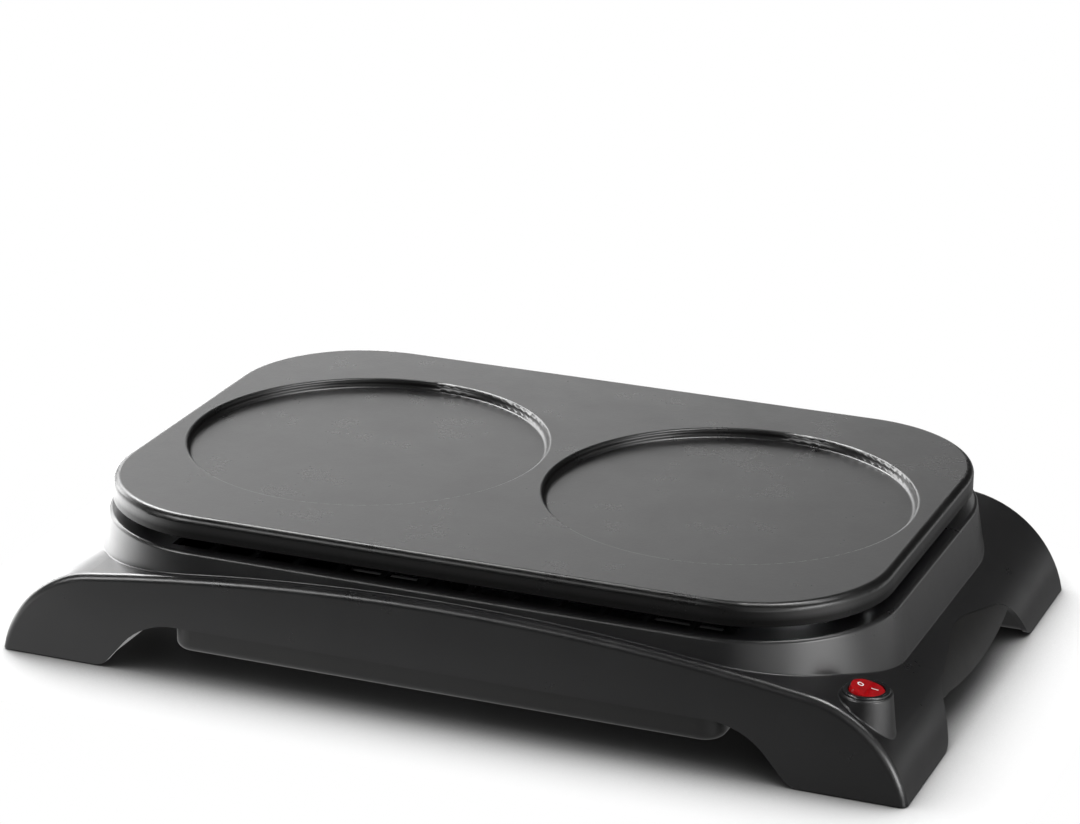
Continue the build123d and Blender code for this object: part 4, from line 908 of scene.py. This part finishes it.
class CREPE_OT_set_stage(bpy.types.Operator):
    """Build the floor, the soft lights, the pale surroundings and the camera"""

    bl_idname = "crepe.set_stage"
    bl_label = "Set Stage"

    def execute(self, context):
        stage = context.scene.crepe_stage
        deselect_all()
        bpy.ops.mesh.primitive_plane_add(size=stage.floor_size, location=(0, 0, 0))
        floor = context.object
        floor.name = "studio_floor"
        floor.data.materials.append(self.floor_material())

        for light in LIGHTS:
            self.soft_light(*light)
        self.surroundings(context)
        self.place_camera(context, stage)
        context.scene.view_settings.view_transform = "Standard"
        return {"FINISHED"}

    def floor_material(self):
        """Pale floor: shadowed near the object, white further off, and a dim table in gloss."""
        material, tree, output = empty_material("studio_floor")
        place = object_coordinates(tree)

        # Painted shadow: the floor's colour runs dark where the object covers it
        cover = tree.nodes.new("ShaderNodeAmbientOcclusion")
        cover.samples = 12
        cover.inputs["Distance"].default_value = SHADOW_REACH
        shade = arithmetic(tree, "POWER", cover.outputs["AO"], 2.0)
        paint = tree.nodes.new("ShaderNodeBsdfPrincipled")
        paint.inputs["Roughness"].default_value = 0.5
        tone = two_tones(tree, shade, (0.03, 0.03, 0.03), (0.97, 0.97, 0.97))
        tree.links.new(tone, paint.inputs["Base Color"])

        positive = vector_step(tree, "ABSOLUTE", place).outputs["Vector"]
        beyond = vector_step(tree, "SUBTRACT", positive, (*self.footprint(), 0.0)).outputs["Vector"]
        outside = vector_step(tree, "MAXIMUM", beyond, (0.0, 0.0, 0.0)).outputs["Vector"]
        distance = vector_step(tree, "LENGTH", outside).outputs["Value"]
        fade = stretch(tree, distance, 0.0, 1.0, from_low=0.0, from_high=FLOOR_FADE)
        glow = tree.nodes.new("ShaderNodeEmission").outputs["Emission"]
        shown = self.either(tree, fade, paint.outputs["BSDF"], glow)

        table = tree.nodes.new("ShaderNodeEmission")
        tree.links.new(self.table_strength(tree, place), table.inputs["Strength"])
        by_ray = self.by_ray(tree, paint.outputs["BSDF"], table.outputs["Emission"], shown)
        tree.links.new(by_ray, output.inputs["Surface"])
        return material

    def table_strength(self, tree, place):
        """How bright the floor is in gloss: in front of the object, and at its left and right."""
        x, y, _ = coordinate_parts(tree, place)
        front = stretch(tree, y, 0.02, 0.75, from_low=-0.42, from_high=-0.2)
        leftwards = stretch(tree, x, 1.4, 0.2, from_low=-0.3, from_high=0.33)
        left = arithmetic(
            tree,
            "MULTIPLY",
            stretch(tree, x, 4.5, 0.0, from_low=-0.42, from_high=-0.27),
            stretch(tree, y, 0.0, 1.0, from_low=-0.4, from_high=-0.15),
        )
        right = arithmetic(
            tree,
            "MULTIPLY",
            stretch(tree, x, 0.0, 1.7, from_low=0.28, from_high=0.44),
            stretch(tree, y, 1.0, 0.0, from_low=-0.12, from_high=-0.02),
        )
        far_right = stretch(tree, x, 0.0, 1.1, from_low=0.33, from_high=0.46)
        sides = arithmetic(tree, "ADD", left, arithmetic(tree, "ADD", right, far_right))
        return arithmetic(tree, "ADD", arithmetic(tree, "MULTIPLY", front, leftwards), sides)

    def footprint(self):
        """Half the length and half the depth of the object."""
        low, high = CAD_BOX
        return (high[0] - low[0]) / 2, (high[1] - low[1]) / 2

    def either(self, tree, share, first, second):
        """Mixes two shaders by a share."""
        blend = tree.nodes.new("ShaderNodeMixShader")
        for value, socket in zip((share, first, second), blend.inputs):
            tree.links.new(value, socket)
        return blend.outputs["Shader"]

    def by_ray(self, tree, matt, gloss, shown):
        """One shader to light matt surfaces, one that gloss shows, and one that is seen."""
        path = tree.nodes.new("ShaderNodeLightPath").outputs
        seen = arithmetic(tree, "MAXIMUM", path["Is Camera Ray"], path["Is Transmission Ray"])
        others = self.either(tree, path["Is Glossy Ray"], matt, gloss)
        return self.either(tree, seen, others, shown)

    def soft_light(self, name, place, size, power):
        bpy.ops.object.light_add(type="AREA", location=place)
        light = bpy.context.object
        light.name = name
        light.data.shape = "RECTANGLE"
        light.data.size, light.data.size_y = size
        light.data.energy = power
        light.visible_glossy = False
        aim = Vector(LIGHT_TARGET) - Vector(place)
        light.rotation_euler = aim.to_track_quat("-Z", "Y").to_euler()

    def surroundings(self, context):
        """White to the eye, soft on matt surfaces, and in gloss a dim room with its windows."""
        world = bpy.data.worlds.new("studio_air")
        context.scene.world = world
        world.use_nodes = True
        tree = world.node_tree
        tree.nodes.clear()
        output = tree.nodes.new("ShaderNodeOutputWorld")
        soft, room, shown = (self.air(tree, strength) for strength in (0.6, 1.0, 1.0))
        facing = tree.nodes.new("ShaderNodeTexCoord").outputs["Generated"]
        glow = ROOM_GLOW
        for window in WINDOWS:
            glow = arithmetic(tree, "ADD", self.window(tree, facing, *window), glow)
        tree.links.new(glow, room.inputs["Strength"])
        by_ray = self.by_ray(tree, *(air.outputs["Background"] for air in (soft, room, shown)))
        tree.links.new(by_ray, output.inputs["Surface"])

    def window(self, tree, facing, azimuth, elevation, inner, outer, strength):
        """Soft round patch of light; its angles are in degrees."""
        turn, slope = math.radians(azimuth), math.radians(elevation)
        middle = (
            math.sin(turn) * math.cos(slope),
            math.cos(turn) * math.cos(slope),
            math.sin(slope),
        )
        nearness = vector_step(tree, "DOT_PRODUCT", facing, middle).outputs["Value"]
        far, near = math.cos(math.radians(outer)), math.cos(math.radians(inner))
        return stretch(tree, nearness, 0.0, strength, from_low=far, from_high=near)

    def air(self, tree, strength):
        """White background of a given strength."""
        node = tree.nodes.new("ShaderNodeBackground")
        node.inputs["Color"].default_value = (1.0, 1.0, 1.0, 1.0)
        node.inputs["Strength"].default_value = strength
        return node

    def place_camera(self, context, stage):
        azimuth, elevation, roll = stage.camera_azimuth, stage.camera_elevation, stage.camera_roll
        back = Vector(
            (
                math.sin(azimuth) * math.cos(elevation),
                -math.cos(azimuth) * math.cos(elevation),
                math.sin(elevation),
            )
        )
        right = Vector((math.cos(azimuth), math.sin(azimuth), 0.0))
        up = back.cross(right)
        turned_right = right * math.cos(roll) + up * math.sin(roll)
        turned_up = up * math.cos(roll) - right * math.sin(roll)
        bpy.ops.object.camera_add(location=stage.camera_place)
        camera = context.object
        camera.name = "studio_camera"
        turn = Matrix((turned_right, turned_up, back)).transposed()
        camera.rotation_euler = turn.to_euler()
        camera.data.lens = stage.lens
        camera.data.sensor_width = 36.0
        camera.data.clip_start = 0.05
        camera.data.clip_end = 50.0
        context.scene.camera = camera


STEPS = (
    CREPE_OT_finish_housing,
    CREPE_OT_finish_plate,
    CREPE_OT_finish_heating,
    CREPE_OT_finish_switch,
    CREPE_OT_add_switch_signs,
    CREPE_OT_add_end_panels,
    CREPE_OT_set_stage,
)


class CREPE_PT_sidebar(bpy.types.Panel):
    """Lists the crepe maker's steps and settings"""

    bl_idname = "CREPE_PT_sidebar"
    bl_label = "Crepe Maker"
    bl_space_type = "VIEW_3D"
    bl_region_type = "UI"
    bl_category = "Crepe Maker"

    def draw(self, context):
        column = self.layout.column(align=True)
        for step in STEPS:
            column.operator(step.bl_idname, text=step.bl_label)
        scene = context.scene
        for group in (scene.crepe_finish, scene.crepe_signs, scene.crepe_panels, scene.crepe_stage):
            box = self.layout.box()
            for name in group.__annotations__:
                box.prop(group, name)


SETTINGS = (CrepeFinishSettings, CrepeSignSettings, CrepePanelSettings, CrepeStageSettings)


def register():
    for cls in (*SETTINGS, *STEPS, CREPE_PT_sidebar):
        bpy.utils.register_class(cls)
    bpy.types.Scene.crepe_finish = PointerProperty(type=CrepeFinishSettings)
    bpy.types.Scene.crepe_signs = PointerProperty(type=CrepeSignSettings)
    bpy.types.Scene.crepe_panels = PointerProperty(type=CrepePanelSettings)
    bpy.types.Scene.crepe_stage = PointerProperty(type=CrepeStageSettings)


def unregister():
    del bpy.types.Scene.crepe_stage
    del bpy.types.Scene.crepe_panels
    del bpy.types.Scene.crepe_signs
    del bpy.types.Scene.crepe_finish
    for cls in reversed((*SETTINGS, *STEPS, CREPE_PT_sidebar)):
        bpy.utils.unregister_class(cls)


def main():
    register()
    bpy.ops.crepe.finish_housing()
    bpy.ops.crepe.finish_plate()
    bpy.ops.crepe.finish_heating()
    bpy.ops.crepe.finish_switch()
    bpy.ops.crepe.add_switch_signs()
    bpy.ops.crepe.add_end_panels()
    bpy.ops.crepe.set_stage()


if __name__ == "__main__":
    main()
